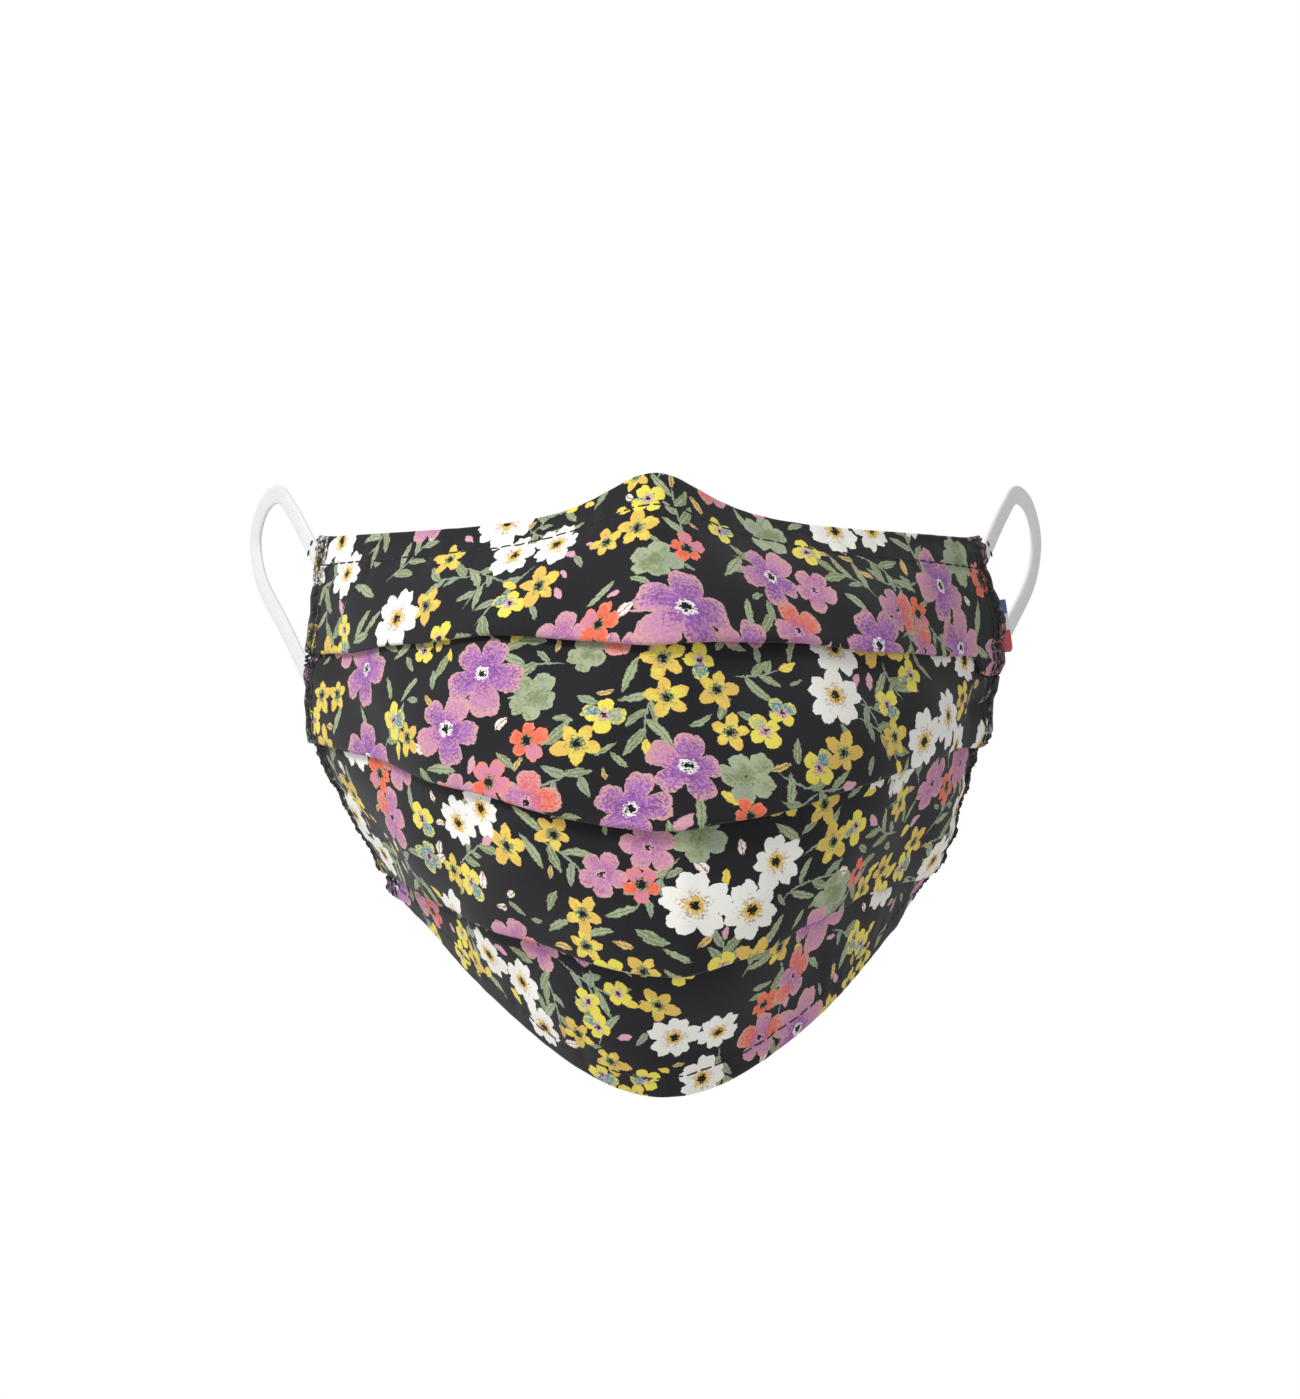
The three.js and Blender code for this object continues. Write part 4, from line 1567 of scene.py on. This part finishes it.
class MASK_OT_cloth(bpy.types.Operator):
    """Folded, hemmed and printed cloth"""

    bl_idname = "mask.cloth"
    bl_label = "Printed cloth"

    def execute(self, context):
        points, faces, flat, printed = cloth_mesh()
        cloth = new_object("printed_cloth", points, faces)
        lay_flat(cloth, flat, "flat_cloth")
        cloth.data.materials.append(printed_cotton())
        cloth.data.materials.append(plain_cotton())
        cloth.data.polygons.foreach_set("material_index", (~printed).astype(np.int32))
        strew_print(cloth.data, printed)
        finish_piece(cloth, ["mask_cloth"])
        form = worn_cloth()
        width = 2 * (form.flat_half + PIECE_GAP + EDGE_WIDTH)
        width * MM
        form.flat_height * MM
        return {"FINISHED"}


class MASK_OT_side_edges(bpy.types.Operator):
    """Overlock threads and the needle line that bind each side edge"""

    bl_idname = "mask.side_edges"
    bl_label = "Bound side edges"

    def execute(self, context):
        size = sizes()
        cloth = worn_cloth()
        thread = size["thread"]
        stitch = size["stitch_length"] * NEEDLE_STITCH_SHARE
        down = np.arange(0.5, float(cloth.lengths[-1]) - 0.5, 0.8)
        for side, word in SIDES:
            threads = [
                thread_path("loops", overlock_path(side), thread * LOOPER_SHARE),
                thread_path("chain", edge_chain_path(side), thread * CHAIN_SHARE),
            ]
            for obj in threads:
                only(obj)
                bpy.ops.object.convert(target="MESH")
            for beyond in (SEAM_BEYOND, NEEDLE_BEYOND):
                across = np.full_like(down, side * (cloth.flat_half + beyond))
                path = cloth.spot(across, down, band_top(down) + 0.05)
                threads.append(stitch_run("needle line", path, stitch, NEEDLE_GAP, thread))
            sewn_piece(f"edge_thread_{word}", threads, [f"side_edge_{word}"])
        return {"FINISHED"}


class MASK_OT_topstitching(bpy.types.Operator):
    """Rows of topstitches along the upper and the lower hem"""

    bl_idname = "mask.topstitching"
    bl_label = "Topstitching"

    def execute(self, context):
        size = sizes()
        cloth, folded = worn_cloth(), folded_cloth()
        start, end = BAND_COLUMNS // 2, len(cloth.across) - BAND_COLUMNS // 2
        share = np.abs(cloth.across)
        upper = TOP_STITCH_DROP + TOP_STITCH_DIP * (1 - share) ** 2
        lower = folded.travel[-1] - BOTTOM_STITCH_RISE * (1 - BOTTOM_STITCH_DIP * share**2)
        stitch = (size["stitch_length"], size["stitch_gap"], size["thread"])
        paths = [front_line(flat_down, start, end) for flat_down in (upper, lower)]
        sewn_piece("topstitching", [stitch_run("topstitches", path, *stitch) for path in paths])
        return {"FINISHED"}


class MASK_OT_ear_loops(bpy.types.Operator):
    """Flat knitted elastic, sewn behind the side edges at both ends"""

    bl_idname = "mask.ear_loops"
    bl_label = "Ear loops"

    def execute(self, context):
        wall = sizes()["strap_wall"]
        angle = np.linspace(0, TAU, STRAP_AROUND, endpoint=False)
        across = squared(np.cos(angle)) * STRAP_WIDTH / 2
        through = squared(np.sin(angle)) * wall / 2
        for side, word in SIDES:
            path, wide, thick, length = strap_path(side)
            rings = (
                path[:, None]
                + wide[:, None] * across[None, :, None]
                + thick[:, None] * through[None, :, None]
            )
            strap = new_object(f"elastic_loop_{word}", rings.reshape(-1, 3), tube(rings))
            flat = np.stack(np.broadcast_arrays(across[None, :], length[:, None]), axis=-1)
            lay_flat(strap, flat.reshape(-1, 2), "flat_strap")
            strap.data.materials.append(shared_material("knitted elastic", knit_elastic))
            finish_piece(strap, [f"ear_loop_{word}"])
        return {"FINISHED"}


class MASK_OT_bar_tacks(bpy.types.Operator):
    """Short black stitches across both ends of the ear loops"""

    bl_idname = "mask.bar_tacks"
    bl_label = "Bar tacks"

    def execute(self, context):
        size = sizes()
        tacks = []
        for side, _ in SIDES:
            path, wide, thick, length = strap_path(side)
            for place in (TACK_PLACE, length[-1] - TACK_PLACE):
                step = int(np.argmin(np.abs(length - place)))
                middle = path[step] + thick[step] * (size["strap_wall"] / 2 + size["thread"] * 0.3)
                line = middle + np.linspace(-0.48, 0.48, 8)[:, None] * STRAP_WIDTH * wide[step]
                tacks.append(stitch_run("bar tack", line, TACK_STITCH, TACK_GAP, size["thread"]))
        sewn_piece("bar_tacks", tacks)
        return {"FINISHED"}


class MASK_OT_tab(bpy.types.Operator):
    """Folded ribbon in the right side edge"""

    bl_idname = "mask.tab"
    bl_label = "Ribbon tab"

    def execute(self, context):
        rings, flat = tab_rings(sizes()["ribbon_wall"])
        tab = new_object("ribbon_tab", rings.reshape(-1, 3), tube(rings))
        lay_flat(tab, flat, "flat_ribbon")
        tab.data.materials.append(banded_ribbon())
        finish_piece(tab, ["side_tab"])
        return {"FINISHED"}


class MASK_OT_stage(bpy.types.Operator):
    """Camera, lights and floor"""

    bl_idname = "mask.stage"
    bl_label = "Stage"

    def execute(self, context):
        add_camera(context.scene)
        light_scene(context.scene)
        add_floor()
        return {"FINISHED"}


class MASK_PT_panel(bpy.types.Panel):
    """Pieces, sizes and colours of the face mask"""

    bl_idname = "MASK_PT_panel"
    bl_label = "Face mask"
    bl_space_type = "VIEW_3D"
    bl_region_type = "UI"
    bl_category = "Face mask"

    def draw(self, context):
        column = self.layout.column(align=True)
        for operator in PIECE_OPERATORS:
            column.operator(operator.bl_idname)
        for group, properties in (
            (context.scene.mask_sizes, MaskSizes),
            (context.scene.mask_colours, MaskColours),
        ):
            box = self.layout.box().column(align=True)
            for name in properties.__annotations__:
                box.prop(group, name)


PIECE_OPERATORS = (
    MASK_OT_stage,
    MASK_OT_cloth,
    MASK_OT_side_edges,
    MASK_OT_topstitching,
    MASK_OT_ear_loops,
    MASK_OT_bar_tacks,
    MASK_OT_tab,
)
CLASSES = (MaskSizes, MaskColours, *PIECE_OPERATORS, MASK_PT_panel)


def register():
    for each in CLASSES:
        bpy.utils.register_class(each)
    bpy.types.Scene.mask_sizes = PointerProperty(type=MaskSizes)
    bpy.types.Scene.mask_colours = PointerProperty(type=MaskColours)


def unregister():
    del bpy.types.Scene.mask_sizes
    del bpy.types.Scene.mask_colours
    for each in reversed(CLASSES):
        bpy.utils.unregister_class(each)


def main():
    register()
    bpy.ops.mask.stage()
    bpy.ops.mask.cloth()
    bpy.ops.mask.side_edges()
    bpy.ops.mask.topstitching()
    bpy.ops.mask.ear_loops()
    bpy.ops.mask.bar_tacks()
    bpy.ops.mask.tab()


if __name__ == "__main__":
    main()
